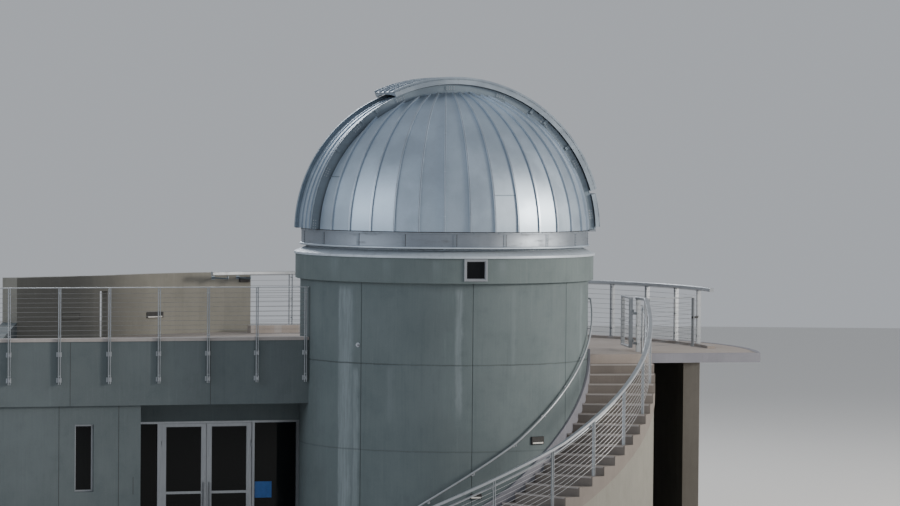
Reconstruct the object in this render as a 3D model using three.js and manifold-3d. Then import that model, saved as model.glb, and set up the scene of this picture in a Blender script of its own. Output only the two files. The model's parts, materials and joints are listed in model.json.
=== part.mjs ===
// Observatory: a round concrete tower with a rotating metal dome, a curved outside stair,
// a roof terrace and a low wing with a glazed entrance. Millimetres, +Z up.
// The origin is on the tower's axis at ground level, +X right and -Y towards the front.
// Bearings are degrees round the tower's axis from the front (-Y) towards the right (+X).

import * as THREE from 'three';
import { mergeVertices } from 'three/addons/utils/BufferGeometryUtils.js';
import Module from 'manifold-3d';

const wasm = await Module();
wasm.setup();

const GAP = 0.3;
const RUNNING = 0.5;

// Storeys
const DECK = 3920;
const RISER_COUNT = 22;
const RISER = DECK / RISER_COUNT;
const FLOOR = 100;
const SLAB = 200;

// Tower
const TOWER_R = 2835;
const TOWER_WALL = 250;
const TOWER_IN = TOWER_R - TOWER_WALL;
const PANEL_ANGLE = 45;
const FIRST_PANEL = -33.8;
const TOWER_FACET = 5;
const TOWER_DOOR_BEARING = 255;
const TOWER_DOOR_WIDTH = 950;
const TOWER_DOOR_HEAD = 2250;

// Cornice and dome track
const CORNICE_R = 2933;
const CORNICE_BOTTOM = 5410;
const CORNICE_TOP = 5910;
const FLASHING_R = 2958;
const FLASHING_EDGE = 28;
const FLASHING_TOP = 5985;
const FLASHING_IN = 2700;
const TRACK_IN = 2590;
const TRACK_OUT = 2690;
const TRACK_TOP = 6030;
const ROLLER_COUNT = 18;
const ROLLER_R = 29.5;
const ROLLER_LENGTH = 60;
const SQUARE_WINDOW_BEARING = 11.8;
const SQUARE_WINDOW_BOTTOM = 50;
const SQUARE_WINDOW_WIDTH = 450;
const SQUARE_WINDOW_HEIGHT = 425;
const SQUARE_FRAME_FACE = 52;
const SQUARE_FRAME_DEPTH = 115;

// Dome
const DOME_R = 2820;
const DOME_SKIN = 50;
const DOME_CENTRE = 6330;
const DOME_RING_BOTTOM = 6070;
const DOME_RING_TOP = 6390;
const RING_FLANGE_R = 2850;
const RING_FLANGE = 18;
const RING_SKIN = 30;
const RING_PLATE = 15;
const OVER_DOME = 9500;
const DOME_FACET = 10;
const MERIDIAN_STEP = 7.5;
const NEAR_SPLIT = -86;
const FAR_SPLIT = 94;
const GORE_START = 4;
const SLIT_BEARING = 106;
const SLIT_HALF = 600;
const ARCH_THICK = 80;
const ARCH_IN = 2680;
const ARCH_OUT = 2885;
const ARCH_STEP = 4;

// Up-and-over shutter and the drop-out panel under it
const SHUTTER_OUT = 3000;
const SHUTTER_SKIN = 25;
const SHUTTER_IN = 2892;
const SHUTTER_HALF = 745;
const SHUTTER_LOW = 16.5;
const SHUTTER_HIGH = 114.7;
const SHUTTER_STEP = 4;
const SHUTTER_EDGE = 22;
const SHUTTER_RIBS = 5;
const RIB_HEIGHT = 35;
const RIB_WIDTH = 30;
const SHOE_ANGLES = [20, 52, 84, 108];
const SHOE_ARC = 1.4;
const SHOE_WIDTH = 44;
const DROP_HALF = 725;
const DROP_OUT = 2985;
const DROP_LOW = 2.3;
const DROP_HIGH = 15;
const DROP_HINGE_X = 2967;
const DROP_HINGE_Z = 6418;
const KNUCKLE_R = 16;
const EAR_NEAR = 300;
const EAR_FAR = 380;
const KNUCKLE_FAR = 460;

// Stair
const STEP_COUNT = RISER_COUNT - 1;
const STEP_ANGLE_UPPER = 4.55;
const STEP_ANGLE_LOWER = 5.6;
const UPPER_STEPS = 14;
const TOP_NOSING_INNER = 92;
const TOP_NOSING_OUTER = 97.5;
const STAIR_IN = TOWER_R - 20;
const STAIR_OUT = 4170;
const STAIR_WALL_OUT = 4150;
const STAIR_WALL_IN = 3950;
const STAIR_WAIST = 400;
const FLIGHTS = 3;
const STAIR_WALLS = 2;
const WALLED_STEPS = 19;
const STAIR_RAIL_R = 4065;
const STAIR_RAIL_HEIGHT = 1000;
const STAIR_RAIL_PAST = 0.45;
const STAIR_RAIL_END = -2.38;
const STAIR_RAIL_WIDTH = 86;
const STAIR_RAIL_THICK = 50;
const RAIL_STEP = 0.5;
const HAND_RAIL_R = 2915;
const HAND_RAIL_HEIGHT = 950;
const HAND_RAIL_PAST = 0.8;
const HAND_RAIL_END = -1.7;

// Terrace: its back edge and the storey's back wall are arcs about one centre
const TERRACE_X = -900;
const TERRACE_Y = 1600;
const TERRACE_R = 7250;
const BACK_WALL_OUT = 6050;
const BACK_WALL_IN = 5730;
const TERRACE_FACET = 5;
const DECK_SLAB = 180;
const DECK_SPLIT = 55;
const PARAPET_IN = 7050;
const PARAPET_TOP = DECK + 1295;
const PARAPET_RIGHT = 118;
const PARAPET_LEFT = 149.6;
const PARAPET_SLOT = [139, 345];
const PARAPET_SLOT_TOP = 970;
const BACK_GUARD_R = 6450;
const NEAR_EDGE_END = [6340, 1150];

// Wing
const WING_X = -2630;
const WING_Y = -1080;
const WING_TURN = 17.5;
const WING_LENGTH = 6250;
const WING_WALL = 300;
const WING_BACK_CORNER = [-9100, 3450];
const FASCIA_BOTTOM = 3000;
const COPING_TOP = 4290;
const COPING_THICK = 60;
const FASCIA_THICK = 250;
const RECESS_END = 3305;
const RECESS_DEPTH = 1000;
const HEAD_TOP = 2600;
const LEAF_TOP = 2550;
const LEAF_DEPTH = 45;

const FRAME_LEFT = 3130;
const FRAME_RIGHT = 160;
const LAST_JAMB = 60;
const SLOT_LEFT = -4590;
const SLOT_RIGHT = -4220;
const SLOT_SILL = 1350;
const SLOT_HEAD = 2640;
const WING_BACK_INNER = [-8790, 3345];
const SLAB_INSET = 5;
const FLOOR_INSET = 12;
const SLAB_CORNER = [WING_BACK_INNER[0] + SLAB_INSET, WING_BACK_INNER[1] - SLAB_INSET];

// Glazed entrance, in the wing's frame
const FRAME_FRONT = 1040;
const FRAME_BACK = 1150;
const LEAF_FRONT = 1070;
const JAMB = 50;
const LEFT_HINGE_EDGE = -2665;
const RIGHT_HINGE_EDGE = -847;
const LEAF_MEETING = 1756;
const LEAF_GAP = 4;
const LEAF_TOP_RAIL = 60;
const STILE = 102;
const MID_RAIL = 1200;
const GLASS_THICK = 10;
const HINGE_R = 10;
const HINGE_IN = 12;
const HINGE_OUT = 12;
const HINGE_HEIGHTS = [400, 2150];

// Guards
const RAIL_THICK = 16;
const RAIL_WIDTH = 70;
const CURVED_RAIL_TALL = 80;
const CURVED_RAIL_WIDTH = 90;
const POST_BAR = 10;
const POST_DEPTH = 50;
const POST_SPACE = 24;
const WIDE_POST_DEPTH = 75;
const WIDE_POST_SPACE = 60;
const BAY = 970;
const FIRST_POST = 70;
const FRONT_POSTS = 7;
const FRONT_RAIL_TOP = 5270;
const FRONT_POST_BOTTOM = 3420;
const FRONT_POST_OUT = 50;
const BRACKET_HEIGHTS = [3500, 3990];
const POST_EVERY = 3;
const FIRST_GUARD_POST = 17.5;
const GUARD_POST_ANGLE = 9.46;
const CURB_HIGH = 160;
const CURB_LOW = 50;
const CURB_END = 120.8;
const CURB_WIDTH = 150;
const BACK_RAIL = 1200;
const BACK_LEFT_RAIL = 1305;
const BACK_GUARD_START = 9.5;
const BACK_GUARD_SPLIT = 85;
const BACK_GUARD_END = 129.2;
const SIDE_RAIL_HIGH = 1070;
const SIDE_RAIL_LOW = 1021;
const SIDE_RAIL_WIDTH = 56;
const SIDE_RAIL_THICK = 12;
const SIDE_RAIL_ENDS = [0.035, 0.915];
const SIDE_POSTS = [0.16, 0.905];
const SIDE_CLAMP = [0.9, 1];
const SIDE_CLAMP_HEIGHT = 600;
const SIDE_CLAMP_WIDTH = 30;
const SIDE_CLAMP_TALL = 40;

// Gate at the head of the stair, standing open
const GATE_POST_STEP = -2.15;
const GATE_PIN_IN = 80;
const GATE_PIN_PAST = 54;
const GATE_START = 14;
const GATE_FACE = 13;
const GATE_THICK = 75;
const GATE_STILE = 60;
const GATE_LENGTH = 1040;
const GATE_BOTTOM = 80;
const GATE_TOP = 1095;
const GATE_BAR = 40;
const GATE_WEB = 20;
const GATE_OPEN_ANGLE = 96.6;
const GATE_HINGES = [200, 800];

// Finishes
const CONCRETE = new THREE.MeshStandardMaterial({ color: 0x8f958c, roughness: 0.9, metalness: 0 });
const DECK_CONCRETE = new THREE.MeshStandardMaterial({ color: 0xa39f94, roughness: 0.9, metalness: 0 });
const GALVANISED = new THREE.MeshStandardMaterial({ color: 0xa9b1ba, roughness: 0.42, metalness: 0.85 });
const FLASHING = new THREE.MeshStandardMaterial({ color: 0xb9bfc4, roughness: 0.5, metalness: 0.7 });
const RAIL_METAL = new THREE.MeshStandardMaterial({ color: 0xc3c7ca, roughness: 0.45, metalness: 0.6 });
const FRAME_METAL = new THREE.MeshStandardMaterial({ color: 0xb4b8ba, roughness: 0.4, metalness: 0.7 });
const GLASS = new THREE.MeshStandardMaterial({ color: 0x20262a, roughness: 0.08, metalness: 0 });

const radians = THREE.MathUtils.degToRad;
const model = new THREE.Group();

// Solids

function signedVolume(positions, indices) {
  let volume = 0;
  const a = new THREE.Vector3();
  const b = new THREE.Vector3();
  const c = new THREE.Vector3();
  for (let i = 0; i < indices.length; i += 3) {
    a.fromArray(positions, indices[i] * 3);
    b.fromArray(positions, indices[i + 1] * 3);
    c.fromArray(positions, indices[i + 2] * 3);
    volume += a.dot(b.cross(c));
  }
  return volume;
}

function meshGeometry(positions, indices) {
  const flipped = signedVolume(positions, indices) < 0;
  const order = flipped ? [...indices].reverse() : indices;
  const geometry = new THREE.BufferGeometry();
  geometry.setAttribute('position', new THREE.Float32BufferAttribute(positions, 3));
  geometry.setIndex(order);
  return geometry;
}

// Joins matching outlines, one after another, into a closed solid.
function loft(sections, closed = false) {
  const count = sections[0].length;
  const positions = sections.flat().flatMap((point) => [point.x, point.y, point.z]);
  const indices = [];
  const links = closed ? sections.length : sections.length - 1;
  for (let i = 0; i < links; i += 1) {
    const here = i * count;
    const there = ((i + 1) % sections.length) * count;
    for (let j = 0; j < count; j += 1) {
      const next = (j + 1) % count;
      indices.push(here + j, there + j, there + next);
      indices.push(here + j, there + next, here + next);
    }
  }
  if (!closed) {
    const first = sections[0];
    const last = (sections.length - 1) * count;
    for (const [a, b, c] of capTriangles(first)) {
      indices.push(a, b, c);
    }
    for (const [a, b, c] of capTriangles(sections[sections.length - 1])) {
      indices.push(last + a, last + c, last + b);
    }
  }
  return meshGeometry(positions, indices);
}

// Triangles of a flat outline, turning the same way as the outline.
function capTriangles(outline) {
  const origin = outline[0];
  const across = new THREE.Vector3();
  const normal = new THREE.Vector3();
  for (let i = 1; i < outline.length - 1; i += 1) {
    const a = outline[i].clone().sub(origin);
    const b = outline[i + 1].clone().sub(origin);
    normal.add(a.cross(b));
  }
  normal.normalize();
  across.copy(outline[1]).sub(origin).normalize();
  const up = normal.clone().cross(across);
  const flat = outline.map((point) => {
    const offset = point.clone().sub(origin);
    return new THREE.Vector2(offset.dot(across), offset.dot(up));
  });
  return THREE.ShapeUtils.triangulateShape(flat, []);
}

function box(x0, x1, y0, y1, z0, z1) {
  const geometry = new THREE.BoxGeometry(x1 - x0, y1 - y0, z1 - z0);
  geometry.translate((x0 + x1) / 2, (y0 + y1) / 2, (z0 + z1) / 2);
  return geometry;
}

function slab(points, z0, z1) {
  const shape = new THREE.Shape(points.map(([x, y]) => new THREE.Vector2(x, y)));
  const geometry = new THREE.ExtrudeGeometry(shape, { depth: z1 - z0, bevelEnabled: false });
  geometry.translate(0, 0, z0);
  return geometry;
}

function rod(radius, from, to, sides = 12) {
  const start = new THREE.Vector3(...from);
  const end = new THREE.Vector3(...to);
  const direction = end.clone().sub(start);
  const geometry = new THREE.CylinderGeometry(radius, radius, direction.length(), sides);
  const turn = new THREE.Quaternion().setFromUnitVectors(
    new THREE.Vector3(0, 1, 0),
    direction.clone().normalize(),
  );
  geometry.applyQuaternion(turn);
  const middle = start.add(end).multiplyScalar(0.5);
  geometry.translate(middle.x, middle.y, middle.z);
  return geometry;
}

function bearingPoint(radius, bearing, z) {
  const angle = radians(bearing);
  return new THREE.Vector3(radius * Math.sin(angle), -radius * Math.cos(angle), z);
}

function spread(from, to, step) {
  const count = Math.max(1, Math.round(Math.abs(to - from) / step));
  return Array.from({ length: count + 1 }, (_, i) => from + ((to - from) * i) / count);
}

// An upright outline of [radius, z] pairs carried round the tower's axis.
function turned(outline, from = 0, to = 360, step = TOWER_FACET) {
  const whole = to - from >= 360;
  const bearings = spread(from, to, step);
  if (whole) bearings.pop();
  const sections = bearings.map((bearing) => outline.map(([r, z]) => bearingPoint(r, bearing, z)));
  return loft(sections, whole);
}

function rectangle(r0, r1, z0, z1) {
  return [[r0, z0], [r1, z0], [r1, z1], [r0, z1]];
}

function toSolid(geometry) {
  const bare = geometry.clone();
  bare.deleteAttribute('normal');
  bare.deleteAttribute('uv');
  const merged = mergeVertices(bare, 1e-3);
  return new wasm.Manifold(new wasm.Mesh({
    numProp: 3,
    vertProperties: new Float32Array(merged.attributes.position.array),
    triVerts: new Uint32Array(merged.index.array),
  }));
}

function toGeometry(solid) {
  const mesh = solid.getMesh();
  const geometry = new THREE.BufferGeometry();
  geometry.setAttribute('position', new THREE.BufferAttribute(mesh.vertProperties, 3));
  geometry.setIndex(new THREE.BufferAttribute(mesh.triVerts, 1));
  return geometry;
}

function join(...geometries) {
  const solids = geometries.map(toSolid);
  return toGeometry(solids.reduce((all, solid) => all.add(solid)));
}

function cut(geometry, ...cutters) {
  const start = toSolid(geometry);
  return toGeometry(cutters.map(toSolid).reduce((rest, cutter) => rest.subtract(cutter), start));
}

function within(geometry, ...limits) {
  const start = toSolid(geometry);
  return toGeometry(limits.map(toSolid).reduce((rest, limit) => rest.intersect(limit), start));
}

function add(parent, name, geometry, material) {
  const mesh = new THREE.Mesh(geometry, material);
  mesh.name = name;
  parent.add(mesh);
  return mesh;
}

// A bar of flat section along a path, its section upright and square to the path in plan.
function flatBar(path, width, height) {
  const sections = path.map((point, i) => {
    const before = path[Math.max(0, i - 1)];
    const after = path[Math.min(path.length - 1, i + 1)];
    const along = after.clone().sub(before).setZ(0).normalize();
    const side = new THREE.Vector3(along.y, -along.x, 0).multiplyScalar(width / 2);
    const up = new THREE.Vector3(0, 0, height / 2);
    return [
      point.clone().add(side).sub(up),
      point.clone().add(side).add(up),
      point.clone().sub(side).add(up),
      point.clone().sub(side).sub(up),
    ];
  });
  return loft(sections);
}

// A post of two flat bars side by side along the guard, at a place on its path.
function pairedPost(point, along, bottom, top, space = POST_SPACE, depth = POST_DEPTH) {
  const bars = [-1, 1].map((side) => {
    const bar = box(
      side * (space + POST_BAR) / 2 - POST_BAR / 2,
      side * (space + POST_BAR) / 2 + POST_BAR / 2,
      -depth / 2,
      depth / 2,
      bottom,
      top,
    );
    bar.rotateZ(along);
    bar.translate(point.x, point.y, 0);
    return bar;
  });
  return bars;
}

function widePost(point, along, bottom, top) {
  return pairedPost(point, along, bottom, top, WIDE_POST_SPACE, WIDE_POST_DEPTH);
}

// The tower's outside, a hair larger, for cutting what meets it.
const TOWER_CUTTER = turned(rectangle(1, TOWER_R + GAP, -10, CORNICE_TOP), FIRST_PANEL, FIRST_PANEL + 360);

// Tower

function towerFloor() {
  const corner = TOWER_IN - GAP / Math.cos(radians(TOWER_FACET / 2));
  const points = spread(FIRST_PANEL, FIRST_PANEL + 360, TOWER_FACET).slice(0, -1).map((bearing) => {
    const point = bearingPoint(corner, bearing, 0);
    return [point.x, point.y];
  });
  add(model, 'tower_floor', slab(points, 0, FLOOR), DECK_CONCRETE);
  add(model, 'observing_floor', slab(points, DECK - SLAB, DECK), DECK_CONCRETE);
}

function towerWalls() {
  const joint = THREE.MathUtils.radToDeg(GAP / 2 / TOWER_IN);
  const doorWay = box(-TOWER_DOOR_WIDTH / 2, TOWER_DOOR_WIDTH / 2, -TOWER_R - 200, -TOWER_IN + 400,
    FLOOR, TOWER_DOOR_HEAD);
  doorWay.rotateZ(radians(TOWER_DOOR_BEARING));
  const panels = 360 / PANEL_ANGLE;
  for (let i = 0; i < panels; i += 1) {
    const start = FIRST_PANEL + i * PANEL_ANGLE;
    const end = start + PANEL_ANGLE;
    const outline = rectangle(TOWER_IN, TOWER_R, 0, CORNICE_BOTTOM);
    let panel = turned(outline, start + joint, end - joint);
    if (TOWER_DOOR_BEARING > start && TOWER_DOOR_BEARING < end) {
      panel = cut(panel, doorWay);
    }
    add(model, `tower_wall_${i + 1}`, panel, CONCRETE);
  }
}

function cornice() {
  const windowTurn = radians(SQUARE_WINDOW_BEARING);
  const bottom = CORNICE_BOTTOM + SQUARE_WINDOW_BOTTOM;
  const half = SQUARE_WINDOW_WIDTH / 2;
  const top = bottom + SQUARE_WINDOW_HEIGHT;
  const opening = box(-half, half, -CORNICE_R - 100, -TOWER_IN + 300, bottom, top);
  opening.rotateZ(windowTurn);
  const ring = turned(rectangle(TOWER_IN, CORNICE_R, CORNICE_BOTTOM + GAP, CORNICE_TOP));
  add(model, 'cornice', cut(ring, opening), CONCRETE);

  const front = -CORNICE_R - 13;
  const back = front + SQUARE_FRAME_DEPTH;
  const outer = box(-half + GAP, half - GAP, front, back, bottom + GAP, top - GAP);
  const border = SQUARE_FRAME_FACE;
  const inner = box(-half + border, half - border, front - 25, back + 50, bottom + border, top - border);
  const frame = cut(outer, inner);
  frame.rotateZ(windowTurn);
  add(model, 'square_window_frame', frame, FRAME_METAL);
  const clear = SQUARE_FRAME_FACE + GAP;
  const paneFront = front + 45;
  const pane = box(-half + clear, half - clear, paneFront, paneFront + GLASS_THICK,
    bottom + clear, top - clear);
  pane.rotateZ(windowTurn);
  add(model, 'square_window_glass', pane, GLASS);

  const flashing = [
    [TRACK_IN, CORNICE_TOP + GAP],
    [FLASHING_R, CORNICE_TOP + GAP],
    [FLASHING_R, CORNICE_TOP + FLASHING_EDGE],
    [FLASHING_IN, FLASHING_TOP],
    [TRACK_IN, FLASHING_TOP],
  ];
  add(model, 'cornice_flashing', turned(flashing), FLASHING);
}

function domeTrack() {
  const track = turned(rectangle(TRACK_IN, TRACK_OUT, FLASHING_TOP + GAP, TRACK_TOP));
  const middle = (TRACK_IN + TRACK_OUT) / 2;
  const height = DOME_RING_BOTTOM - RUNNING - ROLLER_R;
  const rollers = Array.from({ length: ROLLER_COUNT }, (_, i) => {
    const bearing = (i * 360) / ROLLER_COUNT;
    const inner = bearingPoint(middle - ROLLER_LENGTH / 2, bearing, height);
    const outer = bearingPoint(middle + ROLLER_LENGTH / 2, bearing, height);
    return rod(ROLLER_R, inner.toArray(), outer.toArray(), 12);
  });
  add(model, 'dome_track', join(track, ...rollers), GALVANISED);
}

// Dome, in its own frame: +X is the middle of the slit, +Y the far side of the slit from the front

function dome() {
  const group = new THREE.Group();
  group.rotation.z = radians(SLIT_BEARING - 90);
  model.add(group);
  domeRing(group);

  const shell = domeShell();
  const outside = SLIT_HALF + ARCH_THICK + GAP;
  const reach = DOME_R + 400;
  const base = DOME_RING_TOP + GAP;
  for (const [side, label, split] of [[-1, 'near', NEAR_SPLIT], [1, 'far', FAR_SPLIT]]) {
    const clear = side < 0
      ? box(-reach, reach, -reach, -outside, base, OVER_DOME)
      : box(-reach, reach, outside, reach, base, OVER_DOME);
    const limits = [0, split, side * 180];
    for (let i = 0; i < limits.length - 1; i += 1) {
      const wedge = wedgeAbout(limits[i], limits[i + 1]);
      add(group, `dome_shell_${label}_${i + 1}`, within(shell, clear, wedge), GALVANISED);
    }
  }
  const lap = 3;
  const strip = box(-reach, 0, -SLIT_HALF + GAP, SLIT_HALF - GAP, base, OVER_DOME);
  const behind = archSector(10, reach, SHUTTER_HIGH - lap, 180, SLIT_HALF * 2 + 100, 8);
  add(group, 'dome_back_strip', within(shell, strip, behind), GALVANISED);

  const above = box(-reach, reach, -SLIT_HALF - 200, SLIT_HALF + 200, base, OVER_DOME);
  for (const [side, label] of [[-1, 'near'], [1, 'far']]) {
    const arch = archSector(ARCH_IN, ARCH_OUT, -4, 184, ARCH_THICK, ARCH_STEP);
    arch.translate(0, side * (SLIT_HALF + ARCH_THICK / 2), 0);
    add(group, `dome_arch_${label}`, within(arch, above), GALVANISED);
  }
  upperShutter(group);
  lowerShutter(group);
}

// Base ring with a flange over the rollers, a top plate under the arches, and the sill of the
// slit with the ears that carry the drop-out panel.
function domeRing(group) {
  const inside = TRACK_IN - 10;
  const plateIn = ARCH_IN - 20;
  const skinIn = DOME_R - RING_SKIN;
  const section = [
    [inside, DOME_RING_BOTTOM],
    [RING_FLANGE_R, DOME_RING_BOTTOM],
    [RING_FLANGE_R, DOME_RING_BOTTOM + RING_FLANGE],
    [DOME_R, DOME_RING_BOTTOM + RING_FLANGE],
    [DOME_R, DOME_RING_TOP],
    [plateIn, DOME_RING_TOP],
    [plateIn, DOME_RING_TOP - RING_PLATE],
    [skinIn, DOME_RING_TOP - RING_PLATE],
    [skinIn, DOME_RING_BOTTOM + RING_PLATE],
    [inside, DOME_RING_BOTTOM + RING_PLATE],
  ];
  const sillBottom = DOME_RING_TOP - 40;
  const sill = box(DOME_R - 25, DROP_HINGE_X - 30, -SLIT_HALF, SLIT_HALF, sillBottom, DOME_RING_TOP);
  const ears = [-1, 1].map((side) => {
    const near = side * EAR_NEAR;
    const far = side * EAR_FAR;
    const barrel = rod(KNUCKLE_R, [DROP_HINGE_X, near, DROP_HINGE_Z], [DROP_HINGE_X, far, DROP_HINGE_Z]);
    const web = box(DROP_HINGE_X - 60, DROP_HINGE_X - 4, Math.min(near, far), Math.max(near, far),
      sillBottom, DROP_HINGE_Z - 4);
    return join(barrel, web);
  });
  add(group, 'dome_ring', join(turned(section), sill, ...ears), GALVANISED);
}

// Thin shell of flat gores, each bent to the dome's curve from the ring to the top.
function domeShell() {
  const outline = [];
  const low = -2;
  for (const lift of spread(low, 90, MERIDIAN_STEP)) {
    const angle = radians(lift);
    outline.push(new THREE.Vector2(DOME_R * Math.cos(angle), DOME_CENTRE + DOME_R * Math.sin(angle)));
  }
  outline[outline.length - 1].x = 0;
  const inner = DOME_R - DOME_SKIN;
  for (const lift of spread(90, low, MERIDIAN_STEP)) {
    const angle = radians(lift);
    outline.push(new THREE.Vector2(inner * Math.cos(angle), DOME_CENTRE + inner * Math.sin(angle)));
  }
  outline[outline.length / 2].x = 0;
  outline.push(outline[0].clone());
  const shell = new THREE.LatheGeometry(outline, 360 / DOME_FACET);
  shell.rotateX(Math.PI / 2);
  shell.rotateZ(radians(GORE_START));
  return shell;
}

// Upright wedge about the dome's axis between two angles from its +X axis.
function wedgeAbout(from, to) {
  const reach = 6000;
  const split = THREE.MathUtils.radToDeg(GAP / 2 / DOME_R);
  const low = Math.min(from, to) + split;
  const high = Math.max(from, to) - split;
  const points = [[0, 0]];
  for (const angle of spread(low, high, 20)) {
    points.push([reach * Math.cos(radians(angle)), reach * Math.sin(radians(angle))]);
  }
  return slab(points, DOME_RING_TOP - 200, OVER_DOME);
}

// Ring sector in the dome's slit plane, between two angles up from +X, of a given width.
function archSector(r0, r1, from, to, width, step) {
  const sections = spread(from, to, step).map((lift) => {
    const angle = radians(lift);
    const place = (r, y) => new THREE.Vector3(r * Math.cos(angle), y, DOME_CENTRE + r * Math.sin(angle));
    return [place(r0, -width / 2), place(r1, -width / 2), place(r1, width / 2), place(r0, width / 2)];
  });
  return loft(sections);
}

// Curved cover with lengthwise ribs on top, side plates, end plates and shoes on the arches.
function upperShutter(group) {
  const side = SHUTTER_HALF * 2;
  const inner = SHUTTER_OUT - SHUTTER_SKIN;
  const cover = archSector(inner, SHUTTER_OUT, SHUTTER_LOW, SHUTTER_HIGH, side, SHUTTER_STEP);
  const plates = [-1, 1].map((hand) => {
    const plate = archSector(SHUTTER_IN, SHUTTER_OUT - 5, SHUTTER_LOW, SHUTTER_HIGH, SHUTTER_EDGE,
      SHUTTER_STEP);
    plate.translate(0, hand * (SHUTTER_HALF - SHUTTER_EDGE / 2), 0);
    return plate;
  });
  const endArc = 0.5;
  const ends = [
    archSector(SHUTTER_IN, SHUTTER_OUT - 5, SHUTTER_LOW, SHUTTER_LOW + endArc, side, 1),
    archSector(SHUTTER_IN, SHUTTER_OUT - 5, SHUTTER_HIGH - endArc, SHUTTER_HIGH, side, 1),
  ];
  const outerRib = SHUTTER_HALF - RIB_WIDTH / 2 - 25;
  const ribs = spread(-outerRib, outerRib, (2 * outerRib) / (SHUTTER_RIBS - 1)).map((place) => {
    const rib = archSector(SHUTTER_OUT - 3, SHUTTER_OUT + RIB_HEIGHT, SHUTTER_LOW, SHUTTER_HIGH, RIB_WIDTH,
      SHUTTER_STEP);
    rib.translate(0, place, 0);
    return rib;
  });
  const shoes = [];
  for (const lift of SHOE_ANGLES) {
    for (const hand of [-1, 1]) {
      const shoe = archSector(ARCH_OUT + RUNNING, SHUTTER_OUT - 10, lift, lift + SHOE_ARC, SHOE_WIDTH, 2);
      shoe.translate(0, hand * (SLIT_HALF + ARCH_THICK / 2), 0);
      shoes.push(shoe);
    }
  }
  add(group, 'upper_shutter', join(cover, ...plates, ...ends, ...ribs, ...shoes), GALVANISED);
}

// Drop-out panel, hinged along its lower edge.
function lowerShutter(group) {
  const side = DROP_HALF * 2;
  const skin = archSector(DROP_OUT - SHUTTER_SKIN, DROP_OUT, DROP_LOW, DROP_HIGH, side, 3);
  const cheeks = [-1, 1].map((hand) => {
    const plate = archSector(SHUTTER_IN, DROP_OUT - 5, DROP_LOW, DROP_HIGH, SHUTTER_EDGE, 3);
    plate.translate(0, hand * (DROP_HALF - SHUTTER_EDGE / 2), 0);
    return plate;
  });
  const barArc = 0.4;
  const bars = [
    archSector(SHUTTER_IN, DROP_OUT - 5, DROP_LOW, DROP_LOW + barArc, side, 1),
    archSector(SHUTTER_IN, DROP_OUT - 5, DROP_HIGH - barArc, DROP_HIGH, side, 1),
  ];
  const knuckles = [-1, 1].map((hand) => {
    const near = hand * (EAR_FAR + RUNNING);
    const far = hand * KNUCKLE_FAR;
    const barrel = rod(KNUCKLE_R, [DROP_HINGE_X, near, DROP_HINGE_Z], [DROP_HINGE_X, far, DROP_HINGE_Z]);
    const web = box(DROP_HINGE_X - 8, DROP_HINGE_X + 8, Math.min(near, far), Math.max(near, far),
      DROP_HINGE_Z, DROP_HINGE_Z + 40);
    return join(barrel, web);
  });
  add(group, 'lower_shutter', join(skin, ...cheeks, ...bars, ...knuckles), GALVANISED);
}

// Stair

function nosingBearing(step, top) {
  const upper = Math.min(step, UPPER_STEPS);
  const lower = Math.max(0, step - UPPER_STEPS);
  return top - upper * STEP_ANGLE_UPPER - lower * STEP_ANGLE_LOWER;
}

function nosingPoint(step, radius, z) {
  const share = (radius - STAIR_IN) / (STAIR_OUT - STAIR_IN);
  const inner = nosingBearing(step, TOP_NOSING_INNER);
  const outer = nosingBearing(step, TOP_NOSING_OUTER);
  return bearingPoint(radius, inner + (outer - inner) * share, z);
}

// Underside of the flight, level with the ground at its foot.
function waistHeight(step) {
  return Math.max(0, DECK - step * RISER - STAIR_WAIST);
}

function treadBlock(step) {
  const top = DECK - step * RISER;
  const section = (n) => [
    nosingPoint(n, STAIR_IN, waistHeight(n)),
    nosingPoint(n, STAIR_OUT, waistHeight(n)),
    nosingPoint(n, STAIR_OUT, top),
    nosingPoint(n, STAIR_IN, top),
  ];
  return loft([section(step), section(step - 1)]);
}

// Everything under one step of the flight, down to the ground.
function underBlock(step) {
  const section = (n) => [
    nosingPoint(n, STAIR_OUT, 0),
    nosingPoint(n, STAIR_IN, 0),
    nosingPoint(n, STAIR_IN, waistHeight(n) - GAP),
    nosingPoint(n, STAIR_OUT, waistHeight(n) - GAP),
  ];
  return loft([section(step), section(step - 1)]);
}

// Joins the blocks of a run of steps, short of the next run above by a hair's gap.
function run(first, last, block) {
  const blocks = [];
  for (let step = first; step <= last; step += 1) blocks.push(block(step));
  const whole = join(...blocks);
  if (first === 1) return whole;
  const trim = GAP / radians(STEP_ANGLE_UPPER) / STAIR_IN;
  const line = (n, radius) => {
    const point = nosingPoint(n, radius, 0);
    return [point.x, point.y];
  };
  const edge = first - 1;
  const near = 2000;
  const far = 5200;
  const reach = 1;
  const cutter = slab([
    line(edge + trim, near),
    line(edge + trim, far),
    line(edge - reach, far),
    line(edge - reach, near),
  ], -10, DECK);
  return cut(whole, cutter);
}

function stair() {
  for (let flight = 0; flight < FLIGHTS; flight += 1) {
    const first = Math.round((flight * STEP_COUNT) / FLIGHTS) + 1;
    const last = Math.round(((flight + 1) * STEP_COUNT) / FLIGHTS);
    const steps = cut(run(first, last, treadBlock), TOWER_CUTTER);
    add(model, `stair_flight_${flight + 1}`, steps, DECK_CONCRETE);
  }
  for (let part = 0; part < STAIR_WALLS; part += 1) {
    const first = Math.round((part * WALLED_STEPS) / STAIR_WALLS) + 1;
    const last = Math.round(((part + 1) * WALLED_STEPS) / STAIR_WALLS);
    const ring = turned(rectangle(STAIR_WALL_IN, STAIR_WALL_OUT, -10, DECK));
    add(model, `stair_wall_${part + 1}`, within(run(first, last, underBlock), ring), CONCRETE);
  }
}

// Height of a rail over the line of nosings, level past the foot of the flight and from a
// number of steps past its top.
function pitchHeight(step, above, past) {
  const held = Math.min(Math.max(step, -past), STEP_COUNT);
  return DECK - held * RISER + above;
}

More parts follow.
